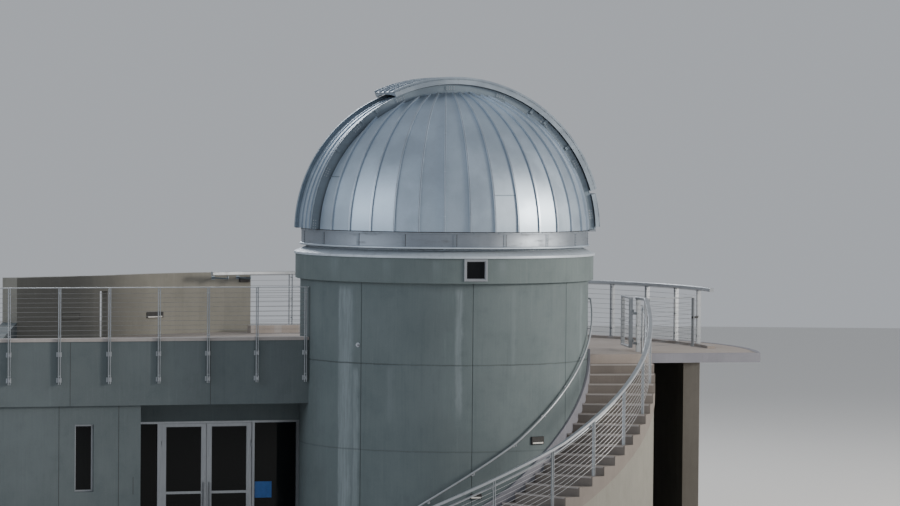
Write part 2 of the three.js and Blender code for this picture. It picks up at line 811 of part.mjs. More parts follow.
function guardHeight(step) {
  return pitchHeight(step, STAIR_RAIL_HEIGHT, STAIR_RAIL_PAST);
}

function stairRails() {
  const path = spread(STEP_COUNT, STAIR_RAIL_END, RAIL_STEP);
  const top = path.map((step) => nosingPoint(step, STAIR_RAIL_R, guardHeight(step)));
  const rail = flatBar(top, STAIR_RAIL_WIDTH, STAIR_RAIL_THICK);
  const posts = [];
  for (let step = STEP_COUNT - 0.5; step > -1; step -= POST_EVERY) {
    const foot = Math.ceil(step);
    const bottom = DECK - Math.max(foot, 0) * RISER + GAP;
    const point = nosingPoint(step, STAIR_RAIL_R, 0);
    const turn = Math.atan2(point.y, point.x) + Math.PI / 2;
    posts.push(...pairedPost(point, turn, bottom, guardHeight(step)));
  }
  const end = nosingPoint(GATE_POST_STEP, STAIR_RAIL_R, 0);
  const endTurn = Math.atan2(end.y, end.x) + Math.PI / 2;
  posts.push(...widePost(end, endTurn, DECK + GAP, guardHeight(GATE_POST_STEP)));
  const { post, pin } = gateHinge();
  const knuckles = GATE_HINGES.map((height) => gateKnuckles(height, post.clone().sub(pin), -50, 0));
  add(model, 'stair_guard', join(rail, ...posts, ...knuckles), RAIL_METAL);

  const hand = (step, above = HAND_RAIL_HEIGHT) => (
    nosingPoint(step, HAND_RAIL_R, pitchHeight(step, above, HAND_RAIL_PAST))
  );
  const handrail = flatBar(spread(STEP_COUNT, HAND_RAIL_END, RAIL_STEP).map((step) => hand(step)), 40, 40);
  const brackets = [];
  for (let step = STEP_COUNT - 1; step > -1.2; step -= POST_EVERY) {
    const out = hand(step, HAND_RAIL_HEIGHT - 55);
    const wall = nosingPoint(step, TOWER_R - 10, out.z);
    const up = out.clone().setZ(out.z + 50);
    brackets.push(rod(8, wall.toArray(), out.toArray(), 8));
    brackets.push(rod(8, out.toArray(), up.toArray(), 8));
  }
  add(model, 'tower_handrail', cut(join(handrail, ...brackets), TOWER_CUTTER), RAIL_METAL);
}

// Terrace

function terracePoint(radius, angle) {
  return [
    TERRACE_X + radius * Math.cos(radians(angle)),
    TERRACE_Y + radius * Math.sin(radians(angle)),
  ];
}

function terraceArc(r0, r1, from, to, z0, z1) {
  const sections = spread(from, to, TERRACE_FACET).map((angle) => {
    const [x0, y0] = terracePoint(r0, angle);
    const [x1, y1] = terracePoint(r1, angle);
    return [
      new THREE.Vector3(x0, y0, z0),
      new THREE.Vector3(x1, y1, z0),
      new THREE.Vector3(x1, y1, z1),
      new THREE.Vector3(x0, y0, z1),
    ];
  });
  return loft(sections);
}

function arcPoints(radius, from, to) {
  return spread(from, to, TERRACE_FACET).map((angle) => terracePoint(radius, angle));
}

// Keeps neighbouring slabs a hair apart by moving each one away from the tower.
function spacedSlab(points, awayBearing, z0, z1) {
  const geometry = slab(points, z0, z1);
  const shift = bearingPoint(1, awayBearing, 0);
  geometry.translate(shift.x, shift.y, 0);
  return cut(geometry, TOWER_CUTTER);
}

// A slab of the terrace with the curbs that lie on it, each [from, to, height].
function curbedSlab(points, awayBearing, curbs) {
  const half = CURB_WIDTH / 2;
  const limit = spacedSlab(points, awayBearing, DECK - 40, DECK + 400);
  const pieces = curbs.map(([from, to, height]) => {
    const curb = terraceArc(BACK_GUARD_R - half, BACK_GUARD_R + half, from, to, DECK - 20, DECK + height);
    return within(curb, limit);
  });
  return join(spacedSlab(points, awayBearing, DECK - DECK_SLAB, DECK), ...pieces);
}

function terrace() {
  const topStep = -0.006;
  const inner = nosingPoint(topStep, STAIR_IN, 0);
  const outer = nosingPoint(topStep, STAIR_OUT, 0);
  const right = [
    [0, 0],
    [inner.x, inner.y],
    [outer.x, outer.y],
    NEAR_EDGE_END,
    ...arcPoints(TERRACE_R, 0, DECK_SPLIT),
  ];
  const rightCurb = [BACK_GUARD_START, DECK_SPLIT + 1, CURB_LOW];
  add(model, 'deck_right', curbedSlab(right, 140, [rightCurb]), DECK_CONCRETE);
  const back = [[0, 0], ...arcPoints(TERRACE_R, DECK_SPLIT, PARAPET_RIGHT)];
  const backCurbs = [
    [DECK_SPLIT - 4, BACK_GUARD_SPLIT, CURB_LOW],
    [BACK_GUARD_SPLIT, PARAPET_RIGHT + 2, CURB_HIGH],
  ];
  add(model, 'deck_back', curbedSlab(back, 175, backCurbs), DECK_CONCRETE);

  const wing = [
    [0, 0],
    ...arcPoints(PARAPET_IN - SLAB_INSET, PARAPET_RIGHT + 0.01, PARAPET_LEFT),
    SLAB_CORNER,
    wingPoint(-WING_LENGTH + WING_WALL + SLAB_INSET, FASCIA_THICK + 2),
    wingPoint(0, FASCIA_THICK + 2),
  ];
  const wingCurb = [PARAPET_RIGHT - 2, CURB_END, CURB_HIGH];
  add(model, 'wing_terrace', curbedSlab(wing, 260, [wingCurb]), DECK_CONCRETE);

  const wallTop = DECK - DECK_SLAB - GAP;
  const splits = [-7, DECK_SPLIT, PARAPET_RIGHT - 0.01];
  for (let i = 0; i < splits.length - 1; i += 1) {
    const wall = terraceArc(BACK_WALL_IN, BACK_WALL_OUT, splits[i], splits[i + 1] - 0.005, 0, wallTop);
    add(model, `back_wall_${i + 1}`, wall, CONCRETE);
  }
  const linkArc = 2.6;
  const linkEnd = PARAPET_RIGHT + linkArc;
  const link = terraceArc(BACK_WALL_IN, PARAPET_IN + 50, PARAPET_RIGHT, linkEnd, 0, wallTop);
  const curved = terraceArc(PARAPET_IN, TERRACE_R, PARAPET_RIGHT, PARAPET_LEFT, 0, PARAPET_TOP);
  add(model, 'wing_back_wall_1', join(curved, link), CONCRETE);
  const corner = [
    terracePoint(TERRACE_R, PARAPET_LEFT + 0.005),
    WING_BACK_CORNER,
    WING_BACK_INNER,
    terracePoint(PARAPET_IN, PARAPET_LEFT + 0.005),
  ];
  add(model, 'wing_back_wall_2', cut(slab(corner, 0, PARAPET_TOP), parapetSlot()), CONCRETE);
}

// The upright slot through the parapet beside its curved part.
function parapetSlot() {
  const [startX, startY] = terracePoint(PARAPET_IN, PARAPET_LEFT);
  const [endX, endY] = WING_BACK_INNER;
  const [from, to] = PARAPET_SLOT;
  const blank = box(from, to, -500, 500, DECK, DECK + PARAPET_SLOT_TOP);
  blank.rotateZ(Math.atan2(endY - startY, endX - startX));
  blank.translate(startX, startY, 0);
  return blank;
}

// Wing, in its own frame: +X along the front towards the tower, +Y back into the building

function placed(geometry) {
  geometry.rotateZ(radians(WING_TURN));
  geometry.translate(WING_X, WING_Y, 0);
  return geometry;
}

function wingPoint(x, y) {
  const point = new THREE.Vector3(x, y, 0);
  point.applyAxisAngle(new THREE.Vector3(0, 0, 1), radians(WING_TURN));
  return [point.x + WING_X, point.y + WING_Y];
}

function wing() {
  const beamTop = COPING_TOP - COPING_THICK;
  const reach = 700;
  const soffitTop = FASCIA_BOTTOM + 100;
  const fascia = placed(join(
    box(-WING_LENGTH, reach, 0, FASCIA_THICK, FASCIA_BOTTOM, beamTop),
    box(-RECESS_END + GAP, reach, FASCIA_THICK - 10, RECESS_DEPTH - GAP, FASCIA_BOTTOM, soffitTop),
  ));
  add(model, 'wing_fascia', cut(fascia, TOWER_CUTTER), CONCRETE);
  const coping = placed(box(-WING_LENGTH, reach, -15, FASCIA_THICK + 20, beamTop + GAP, COPING_TOP));
  add(model, 'wing_coping', cut(coping, TOWER_CUTTER), DECK_CONCRETE);

  const face = 60;
  const wallBack = face + WING_WALL;
  const frontWall = box(-WING_LENGTH, -RECESS_END, face, wallBack, 0, FASCIA_BOTTOM - GAP);
  const slot = box(SLOT_LEFT, SLOT_RIGHT, face - 50, wallBack + 50, SLOT_SILL, SLOT_HEAD);
  add(model, 'wing_front_wall', cut(placed(frontWall), placed(slot)), CONCRETE);
  const border = 35;
  const slotFrame = cut(
    box(SLOT_LEFT + GAP, SLOT_RIGHT - GAP, face + 90, face + 150, SLOT_SILL + GAP, SLOT_HEAD - GAP),
    box(SLOT_LEFT + border, SLOT_RIGHT - border, face, wallBack, SLOT_SILL + border, SLOT_HEAD - border),
  );
  add(model, 'narrow_window_frame', placed(slotFrame), FRAME_METAL);
  const clear = border + GAP;
  const slotGlass = box(SLOT_LEFT + clear, SLOT_RIGHT - clear, face + 114, face + 126,
    SLOT_SILL + clear, SLOT_HEAD - clear);
  add(model, 'narrow_window_glass', placed(slotGlass), GLASS);

  const wallTop = DECK - DECK_SLAB - GAP;
  const entranceWall = join(
    box(-RECESS_END - WING_WALL, reach, RECESS_DEPTH, RECESS_DEPTH + 200, HEAD_TOP + GAP, wallTop),
    box(-RECESS_END - WING_WALL, -FRAME_LEFT - GAP, RECESS_DEPTH, RECESS_DEPTH + 200, 0, wallTop),
    box(-RECESS_END - WING_WALL, -RECESS_END, wallBack + GAP, RECESS_DEPTH + 10, 0, wallTop),
  );
  add(model, 'entrance_wall', cut(placed(entranceWall), TOWER_CUTTER), CONCRETE);

  const floor = slab([
    [reach, RECESS_DEPTH],
    [-FRAME_LEFT + GAP, RECESS_DEPTH],
    [-FRAME_LEFT + GAP, RECESS_DEPTH + 200 + GAP],
    [-RECESS_END - WING_WALL - GAP, RECESS_DEPTH + 200 + GAP],
    [-RECESS_END - WING_WALL - GAP, wallBack + GAP],
    [-WING_LENGTH, wallBack + GAP],
    [-WING_LENGTH, 9000],
    [reach + 3000, 9000],
    [reach + 3000, RECESS_DEPTH],
  ], 0, FLOOR);
  const edge = slab([
    ...arcPoints(PARAPET_IN - FLOOR_INSET, PARAPET_RIGHT + 2.7, PARAPET_LEFT),
    SLAB_CORNER,
    wingPoint(-WING_LENGTH + WING_WALL + SLAB_INSET, 0),
    [0, -2600],
    [0, 2850],
    terracePoint(BACK_WALL_IN - 5, PARAPET_RIGHT + 2.7),
  ], -10, FLOOR + 10);
  add(model, 'wing_floor', within(placed(floor), edge, slabOutsideTower()), DECK_CONCRETE);

  endWall(wallBack);
}

// The plain end of the wing, from behind the front wall to the back corner.
function endWall(wallBack) {
  const away = GAP * 2;
  const backInner = [WING_BACK_INNER[0], WING_BACK_INNER[1] - away];
  const backOuter = [WING_BACK_CORNER[0], WING_BACK_CORNER[1] - away];
  const outline = (start) => [
    wingPoint(-WING_LENGTH, start),
    wingPoint(-WING_LENGTH + WING_WALL, start),
    backInner,
    backOuter,
  ];
  const lower = slab(outline(wallBack + GAP), 0, COPING_TOP);
  const upper = slab(outline(FASCIA_THICK + 21), FASCIA_BOTTOM, COPING_TOP);
  add(model, 'wing_end_wall', join(lower, upper), CONCRETE);
}

function slabOutsideTower() {
  return turned(rectangle(TOWER_R + GAP, 12000, -20, FLOOR + 20), FIRST_PANEL, FIRST_PANEL + 360);
}

// Glazed entrance

function entrance() {
  const head = LEAF_TOP + 6;
  const low = FLOOR + GAP;
  const upright = (x0, x1) => box(x0, x1, FRAME_FRONT, FRAME_BACK, low, HEAD_TOP);
  const sill = (x0, x1) => box(x0, x1, FRAME_FRONT, FRAME_BACK, low, low + 90);
  const leftJamb = LEFT_HINGE_EDGE - 6;
  const rightJamb = RIGHT_HINGE_EDGE + 6;
  const pieces = [
    box(-FRAME_LEFT, FRAME_RIGHT, FRAME_FRONT, FRAME_BACK, head, HEAD_TOP),
    upright(-FRAME_LEFT, -FRAME_LEFT + JAMB),
    upright(leftJamb - 75, leftJamb),
    upright(rightJamb, rightJamb + JAMB),
    upright(LAST_JAMB, FRAME_RIGHT),
    sill(-FRAME_LEFT, leftJamb - 10),
    sill(rightJamb + 10, FRAME_RIGHT),
  ];
  for (const [hinge, hand] of [[LEFT_HINGE_EDGE, 1], [RIGHT_HINGE_EDGE, -1]]) {
    for (const height of HINGE_HEIGHTS) {
      const x = hinge + hand * HINGE_IN;
      const y = LEAF_FRONT - HINGE_OUT;
      pieces.push(rod(HINGE_R, [x, y, height - 60], [x, y, height]));
      const webEnd = hinge - hand * 20;
      pieces.push(box(Math.min(x, webEnd), Math.max(x, webEnd), y - 5, y + 5, height - 60, height));
    }
  }
  add(model, 'entrance_frame', cut(placed(join(...pieces)), TOWER_CUTTER), FRAME_METAL);
  const glassFront = 1085;
  const pane = (x0, x1) => box(x0, x1, glassFront, glassFront + GLASS_THICK, low + 90 + GAP, head - GAP);
  add(model, 'sidelight_glass', placed(pane(-FRAME_LEFT + JAMB + GAP, leftJamb - 75 - GAP)), GLASS);
  add(model, 'fixed_glass', placed(pane(rightJamb + JAMB + GAP, LAST_JAMB - GAP)), GLASS);
  doorLeaf('left', LEFT_HINGE_EDGE, -LEAF_MEETING - LEAF_GAP);
  doorLeaf('right', RIGHT_HINGE_EDGE, -LEAF_MEETING + LEAF_GAP);
}

function doorLeaf(label, hingeEdge, freeEdge) {
  const x0 = Math.min(hingeEdge, freeEdge);
  const x1 = Math.max(hingeEdge, freeEdge);
  const back = LEAF_FRONT + LEAF_DEPTH;
  const bottom = FLOOR + 8;
  const hand = Math.sign(freeEdge - hingeEdge);
  const sill = bottom + 250;
  const head = LEAF_TOP - LEAF_TOP_RAIL;
  const blank = box(x0, x1, LEAF_FRONT, back, bottom, LEAF_TOP);
  const hole = box(x0 + STILE, x1 - STILE, LEAF_FRONT - 20, back + 20, sill, head);
  const pushBar = box(x0 + STILE - 5, x1 - STILE + 5, LEAF_FRONT, LEAF_FRONT + 15,
    MID_RAIL - 25, MID_RAIL + 25);
  const hinges = HINGE_HEIGHTS.map((height) => {
    const x = hingeEdge + hand * HINGE_IN;
    const y = LEAF_FRONT - HINGE_OUT;
    const barrel = rod(HINGE_R, [x, y, height + RUNNING], [x, y, height + 60]);
    const web = box(x - 5, x + 5, y, LEAF_FRONT + 2, height + RUNNING, height + 60);
    return join(barrel, web);
  });
  const frame = join(cut(blank, hole), pushBar, ...hinges);
  add(model, `door_${label}_frame`, placed(frame), FRAME_METAL);
  const paneFront = LEAF_FRONT + 17;
  const pane = box(x0 + STILE + GAP, x1 - STILE - GAP, paneFront, paneFront + GLASS_THICK,
    sill + GAP, head - GAP);
  add(model, `door_${label}_glass`, placed(pane), GLASS);
}

// Guards

function frontGuard() {
  const top = FRONT_RAIL_TOP;
  const y = -FRONT_POST_OUT;
  const pieces = [
    flatBar([
      new THREE.Vector3(-WING_LENGTH + 20, y, top - RAIL_THICK / 2),
      new THREE.Vector3(-20, y, top - RAIL_THICK / 2),
    ], RAIL_WIDTH, RAIL_THICK),
  ];
  for (let i = 0; i < FRONT_POSTS; i += 1) {
    const x = -FIRST_POST - i * BAY;
    const place = new THREE.Vector3(x, y, 0);
    pieces.push(...pairedPost(place, 0, FRONT_POST_BOTTOM, top - RAIL_THICK / 2));
    for (const height of BRACKET_HEIGHTS) {
      pieces.push(box(x - 22, x + 22, y - 15, -GAP, height - 30, height + 30));
    }
  }
  add(model, 'front_guard', placed(join(...pieces)), RAIL_METAL);
}

function arcGuard(name, from, to, above, curb, extra = []) {
  const railMiddle = DECK + above - RAIL_THICK / 2;
  const path = arcPoints(BACK_GUARD_R, from, to).map(([x, y]) => new THREE.Vector3(x, y, railMiddle));
  const pieces = [flatBar(path, CURVED_RAIL_WIDTH, CURVED_RAIL_TALL)];
  for (let angle = FIRST_GUARD_POST; angle < Math.min(to, PARAPET_RIGHT); angle += GUARD_POST_ANGLE) {
    if (angle < from) continue;
    const [x, y] = terracePoint(BACK_GUARD_R, angle);
    const along = radians(angle) + Math.PI / 2;
    pieces.push(...widePost(new THREE.Vector3(x, y, 0), along, DECK + curb + GAP, railMiddle));
  }
  add(model, name, join(...pieces, ...extra), RAIL_METAL);
}

// Short straight guard from the gate's post to the curved guard, clamped to its first post.
function sideGuardPieces() {
  const base = DECK - SIDE_RAIL_THICK / 2;
  const from = nosingPoint(GATE_POST_STEP, STAIR_RAIL_R, base + SIDE_RAIL_HIGH);
  const to = new THREE.Vector3(...terracePoint(BACK_GUARD_R, FIRST_GUARD_POST), base + SIDE_RAIL_LOW);
  const along = Math.atan2(to.y - from.y, to.x - from.x);
  const at = (share) => from.clone().lerp(to, share);
  const clamp = SIDE_CLAMP.map((share) => at(share).setZ(DECK + SIDE_CLAMP_HEIGHT));
  const pieces = [
    flatBar(SIDE_RAIL_ENDS.map(at), SIDE_RAIL_WIDTH, SIDE_RAIL_THICK),
    flatBar(clamp, SIDE_CLAMP_WIDTH, SIDE_CLAMP_TALL),
  ];
  for (const place of SIDE_POSTS.map(at)) {
    pieces.push(...pairedPost(place, along, DECK + GAP, place.z));
  }
  return pieces;
}

// The gate's post, and its pin off the post's inner far corner.
function gateHinge() {
  const post = nosingPoint(GATE_POST_STEP, STAIR_RAIL_R, 0);
  const outward = post.clone().normalize();
  const along = new THREE.Vector3(-outward.y, outward.x, 0);
  const pin = post.clone().addScaledVector(outward, -GATE_PIN_IN).addScaledVector(along, GATE_PIN_PAST);
  return { post, pin };
}

function gateKnuckles(height, toward, low, high) {
  const { pin } = gateHinge();
  const barrel = rod(11, [pin.x, pin.y, DECK + height + low], [pin.x, pin.y, DECK + height + high]);
  const length = toward.length();
  const web = box(0, length, -4, 4, DECK + height + low, DECK + height + high);
  web.rotateZ(Math.atan2(toward.y, toward.x));
  web.translate(pin.x, pin.y, 0);
  return join(barrel, web);
}

function gate() {
  const { pin } = gateHinge();
  const start = GATE_START;
  const end = start + GATE_LENGTH;
  const near = GATE_FACE;
  const far = near + GATE_THICK;
  const low = DECK + GATE_BOTTOM;
  const high = DECK + GATE_TOP;
  const outline = box(start, end, near, far, low, high);
  const opening = box(start + GATE_STILE, end - GATE_STILE, near - 5, far + 5,
    low + GATE_BAR, high - GATE_BAR);
  const frame = cut(outline, opening);
  frame.rotateZ(radians(GATE_OPEN_ANGLE));
  frame.translate(pin.x, pin.y, 0);
  const toLeaf = new THREE.Vector3(start + GATE_WEB, near + GATE_WEB, 0);
  toLeaf.applyAxisAngle(new THREE.Vector3(0, 0, 1), radians(GATE_OPEN_ANGLE));
  const knuckles = GATE_HINGES.map((height) => gateKnuckles(height, toLeaf, RUNNING, 50));
  add(model, 'stair_gate', join(frame, ...knuckles), RAIL_METAL);
}

towerFloor();
towerWalls();
cornice();
domeTrack();
dome();
stair();
stairRails();
terrace();
wing();
entrance();
frontGuard();
arcGuard('back_guard', BACK_GUARD_START, BACK_GUARD_SPLIT - 0.01, BACK_RAIL, CURB_LOW, sideGuardPieces());
arcGuard('back_guard_left', BACK_GUARD_SPLIT, BACK_GUARD_END, BACK_LEFT_RAIL, CURB_HIGH);
gate();

export default model;
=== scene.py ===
"""Looks for the observatory: metal and concrete skins, rails, cables, joints and fixtures round the frame.

Lengths are in metres in the frame's own axes: +Z up, -Y towards the camera, +X to the right.
Bearings are degrees round the tower's axis from the front (-Y) towards the right (+X).
"""

import json
from math import asin, atan2, ceil, cos, degrees, pi, radians, sin

import bpy
from mathutils import Matrix, Vector


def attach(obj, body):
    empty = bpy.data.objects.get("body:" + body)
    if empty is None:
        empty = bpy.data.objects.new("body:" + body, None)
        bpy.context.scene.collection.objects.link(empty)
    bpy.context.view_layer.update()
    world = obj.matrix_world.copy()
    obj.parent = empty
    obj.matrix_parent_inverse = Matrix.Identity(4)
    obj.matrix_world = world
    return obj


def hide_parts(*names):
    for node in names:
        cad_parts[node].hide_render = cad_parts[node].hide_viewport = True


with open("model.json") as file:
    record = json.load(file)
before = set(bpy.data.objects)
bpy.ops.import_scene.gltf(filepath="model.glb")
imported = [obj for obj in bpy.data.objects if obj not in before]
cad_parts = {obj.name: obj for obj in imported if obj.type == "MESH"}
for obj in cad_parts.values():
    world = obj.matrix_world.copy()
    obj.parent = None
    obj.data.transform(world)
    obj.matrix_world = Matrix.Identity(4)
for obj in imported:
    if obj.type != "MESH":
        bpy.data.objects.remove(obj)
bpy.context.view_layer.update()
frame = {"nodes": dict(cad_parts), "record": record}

# Camera, from the photograph
IMAGE_WIDTH = 900
FOCAL_PIXELS = 3810
SENSOR = 36.0
CAMERA_PLACE = (0.0, -75.0, 8.25)
CAMERA_PITCH = 1.789
CAMERA_PAN = 0.083
CAMERA_ROLL = 0.487
FAR_END = 500

# Studio
STUDIO_TINT = (0.78, 0.82, 0.88, 1)
STUDIO_STRENGTH = 0.55
FLOOR_TINT = (0.72, 0.71, 0.69)
FLOOR_CORNERS = ((-90, -60), (90, -60), (90, 90), (-90, 90))
FLOOR_DROP = 0.002
LAMPS = (
    ("key", (31, -8, 13.5), (0, 0, 4), 9, 10500, (1.0, 0.94, 0.85)),
    ("fill", (-31, -17, 17), (0, 0, 4), 22, 3600, (0.88, 0.94, 1.0)),
    ("rim", (-10, 26, 22), (0, 0, 5), 12, 3500, (0.95, 0.97, 1.0)),
)

# Skins and edges
GAP = 0.0003
FOOT_GAP = 0.0005
SHARP_ANGLE = 35
CURVE_STEP = 1.5
UP = Vector((0, 0, 1))
SIDES = ((-1, "near"), (1, "far"))

# Bolts, as radius and height of the head
SHEET_BOLT = (0.006, 0.005)
ARCH_BOLT = (0.007, 0.006)
POST_BOLT = (0.008, 0.006)
PLATE_BOLT = (0.006, 0.006)
CUFF_BOLT = (0.007, 0.007)
ARM_BOLT = (0.007, 0.005)

# Tower and cornice
DECK = 3.92
TOWER_R = 2.835
TOWER_IN = 2.585
PANELS = 8
FIRST_PANEL = -33.8
PANEL_ANGLE = 45.0
PANEL_GAP = 0.003
PANEL_CHAMFER = 0.008
TOWER_DOOR = (0.95, 0.1, 2.25, 255.0)
OPENING_MARGIN = 0.3
JOINT_LEVELS = ((2.21, 0.45), (3.86, 0.8))
CORNICE_R = 2.933
CORNICE_BOTTOM = 5.41
CORNICE_TOP = 5.91
WINDOW_BEARING = 11.8
WINDOW_HALF = 0.225
WINDOW_LOW = 5.46
WINDOW_HIGH = 5.885
WINDOW_FACE = 0.052
WINDOW_DEPTH = 0.115
FLASHING_R = 2.958
FLASHING_TOP = 5.985
FLASHING_IN = 2.7
FLASHING_LAP = 0.012
UPSTAND_TOP = 6.028
TRACK_IN = 2.59
TRACK_OUT = 2.69
RACK = (6.034, 6.054)
RACK_BOTTOM = 5.99
RACK_TEETH = 280

# Dome
DOME_R = 2.82
DOME_CENTRE = 6.33
RING_BOTTOM = 6.07
RING_TOP = 6.39
RING_FLANGE_R = 2.85
RING_PLATES = 18
RING_RIM_BOLTS = 72
SLIT_BEARING = 106.0
SLIT_HALF = 0.6
ARCH_THICK = 0.08
ARCH_IN = 2.68
ARCH_OUT = 2.885
ARCH_WEB = 0.008
ARCH_LUGS = (36.0, 49.6, 56.7, 124.0, 131.0, 146.0)
GORE_ANGLE = 10
GORE_EDGE = 0.735
GORE_THICK = 0.05
GORE_HEAD = 78
GORE_LAPS = ((20, 7.08), (-60, 7.4), (130, 7.25), (-140, 7.1))
SEAM_LIP = 0.012
SEAM_GAP = 0.008
SEAM_TALL = 0.03
SEAM_HEAD = 88
SHUTTER_OUT = 3.0
SHUTTER_IN = 2.892
SHUTTER_HALF = 0.745
SHUTTER_LOW = 16.5
SHUTTER_HIGH = 114.7
ROLLERS = (20, 52, 84, 108)
COVER_SEAMS = (-0.3, 0.0, 0.3)
RIB_TOP = 3.035
RIB_HALF = 0.7
PLATE_ANGLE = 0.4
DROP_HALF = 0.725
DROP_RIB_HALF = 0.64
DROP_OUT = 2.985
DROP_LOW = 2.3
DROP_HIGH = 15.0
DROP_HINGE_X = 2.967
DROP_HINGE_Z = 6.418
DROP_HINGE_R = 0.016

# Stair
RISER_COUNT = 22
STEP_COUNT = RISER_COUNT - 1
RISER = DECK / RISER_COUNT
STEP_UPPER = 4.55
STEP_LOWER = 5.6
UPPER_STEPS = 14
NOSING_INNER = 92.0
NOSING_OUTER = 97.5
STAIR_IN = 2.815
STAIR_OUT = 4.17
STAIR_RAIL_R = 4.065
STAIR_RAIL_HEIGHT = 1.0
STAIR_RAIL_PAST = 0.45
STAIR_RAIL_END = -2.38
STAIR_CABLES = (10, 0.1, 0.085)
HAND_RAIL_R = 2.915
HAND_RAIL_HEIGHT = 0.95
HAND_RAIL_PAST = 0.8
HAND_RAIL_END = -1.7
GRAB_RAIL_R = STAIR_RAIL_R - 0.075
GRAB_RAIL_TUBE = 0.019
POST_COUNT = 8
POST_EVERY = 3
GATE_POST_STEP = -2.15
GATE_PIN_IN = 0.08
GATE_PIN_PAST = 0.054
GATE_LENGTH = 1.04
GATE_START = 0.014
GATE_FACE = 0.013
GATE_THICK = 0.075
GATE_STILE = 0.06
GATE_LOW = 0.08
GATE_HIGH = 1.095
GATE_BAR = 0.04
GATE_OPEN = 96.6
GATE_HINGES = (0.2, 0.8)
GATE_RUNGS = (11, 0.1, 0.081)
LATCH_HEIGHT = 0.61

# Terrace
TERRACE = (-0.9, 1.6)
TERRACE_R = 7.25
PARAPET_IN = 7.05
BACK_GUARD_R = 6.45
BACK_RAIL = 1.2
BACK_LEFT_RAIL = 1.305
BACK_GUARD_START = 9.5
BACK_GUARD_SPLIT = 85.0
BACK_GUARD_END = 129.2
CABLE_END = 120.5
CURB_LOW = 0.05
CURB_HIGH = 0.16
CURB_END = 120.8
FIRST_GUARD_POST = 17.5
GUARD_POST_ANGLE = 9.46
GUARD_POSTS = 11
PARAPET_RIGHT = 118.0
RAIL_ARMS = (120.6, 125.6)
ARM_HALF = 0.006
DECK_SPLIT = 55.0
DECK_SLAB = 0.18
NEAR_EDGE_END = (6.34, 1.15)
DECK_EDGE_STEP = 5.0
SIDE_RAIL_HIGH = 1.07
SIDE_RAIL_LOW = 1.021
SIDE_RAIL_ENDS = (0.035, 0.915)
SIDE_POSTS = (0.16, 0.905)
SIDE_CLAMP = (0.893, 1.0)
SIDE_CABLES = (11, 0.09, 0.083)

# Wing
WING = (-2.63, -1.08)
WING_TURN = 17.5
WING_LENGTH = 6.25
FRONT_RAIL_TOP = 5.27
FRONT_POST_BOTTOM = 3.42
FRONT_POST_OUT = 0.05
FRONT_CABLES = (10, 0.07, 0.088)
CUFFS = (3.5, 3.99)
BAY = 0.97
FIRST_POST = 0.07
FRONT_POSTS = 7
COPING_TOP = 4.29
FASCIA_BOTTOM = 3.0
FASCIA_TOP = 4.22
LEAF_FRONT = 1.07
LEFT_HINGE_EDGE = -2.665
RIGHT_HINGE_EDGE = -0.847
LEAF_MEETING = -1.756
LEAF_GAP = 0.004
LEAF_TOP = 2.55
LEAF_GLASS_LOW = 0.358
STILE = 0.102
GASKET = 0.012
GLASS_FRONT = 1.085
WING_JOINTS = (
    (-3.736, 0.0, FASCIA_BOTTOM, 0.06),
    # The short strip at -3.45, from 1.28 to 1.62 m up, is a dark strip by the recess's corner.
    (-3.45, 1.28, 1.62, 0.06),
    (-4.9, 0.0, FASCIA_BOTTOM, 0.06),
    (-1.95, FASCIA_BOTTOM, FASCIA_TOP, 0.0),
    (-4.7, FASCIA_BOTTOM, FASCIA_TOP, 0.0),
)

# Rails
RAIL_WIDTH = 0.07
RAIL_THICK = 0.016
STAIR_RAIL_SIZE = (0.086, 0.05, 0.006)
SIDE_RAIL_SIZE = (0.056, 0.024)
CLAMP_SIZE = (0.034, 0.044)
STAIR_CURB_SIZE = (0.05, 0.26, 0.005)
CURVED_RAIL_TALL = 0.08
CURVED_RAIL_WIDTH = 0.09
SLIM_POST = (0.05, 0.024)
WIDE_POST = (0.075, 0.06)
POST_BAR = 0.01
CABLE_R = 0.0035

# Fixtures
TOWER_LIGHTS = ((39.5, 2.4, 0.31, 0.15), (12.9, 1.37, 0.22, 0.1))
PARAPET_LIGHT = (138.5, 4.336)
PARAPET_HOUSING = (119.3, 5.053)
WALL_PANEL = (-7.78, 4.363, 4.382)
WALL_PANEL_TURN = 45.2
TOWER_FITTING = (-35.2, 4.21)


# Geometry


class Shape:
    """Points and faces gathered for one mesh."""

    def __init__(self):
        self.points = []
        self.faces = []

    def add(self, points, faces):
        base = len(self.points)
        self.points.extend(tuple(point) for point in points)
        self.faces.extend(tuple(base + corner for corner in face) for face in faces)


def at_bearing(radius, bearing, z=0.0):
    turn = radians(bearing)
    return Vector((radius * sin(turn), -radius * cos(turn), z))


def spread(low, high, step):
    count = max(1, round(abs(high - low) / step))
    return [low + (high - low) * i / count for i in range(count + 1)]


def rows(base, count, first, every):
    """Heights of a set of level lines over a base."""
    return [base + first + i * every for i in range(count)]


def loft(shape, sections, closed=False):
    """Joins matching outlines, one after another, into a closed skin."""
    count = len(sections[0])
    last = (len(sections) - 1) * count
    faces = []
    for i in range(len(sections) if closed else len(sections) - 1):
        here = i * count
        there = ((i + 1) % len(sections)) * count
        for j in range(count):
            k = (j + 1) % count
            faces.append((here + j, there + j, there + k, here + k))
    if not closed:
        faces.append(tuple(range(count)))
        faces.append(tuple(last + j for j in reversed(range(count))))
    shape.add([point for section in sections for point in section], faces)


def turned(shape, outline, low=0.0, high=360.0, step=CURVE_STEP):
    """Carries an upright outline of (radius, z) pairs round the tower's axis."""
    whole = high - low >= 360
    bearings = spread(low, high, step)
    if whole:
        bearings.pop()
    loft(shape, [[at_bearing(r, bearing, z) for r, z in outline] for bearing in bearings], closed=whole)


def band(shape, r0, r1, z0, z1, low=0.0, high=360.0, step=CURVE_STEP):
    """A rectangular band round the tower's axis."""
    turned(shape, [(r0, z0), (r1, z0), (r1, z1), (r0, z1)], low, high, step)


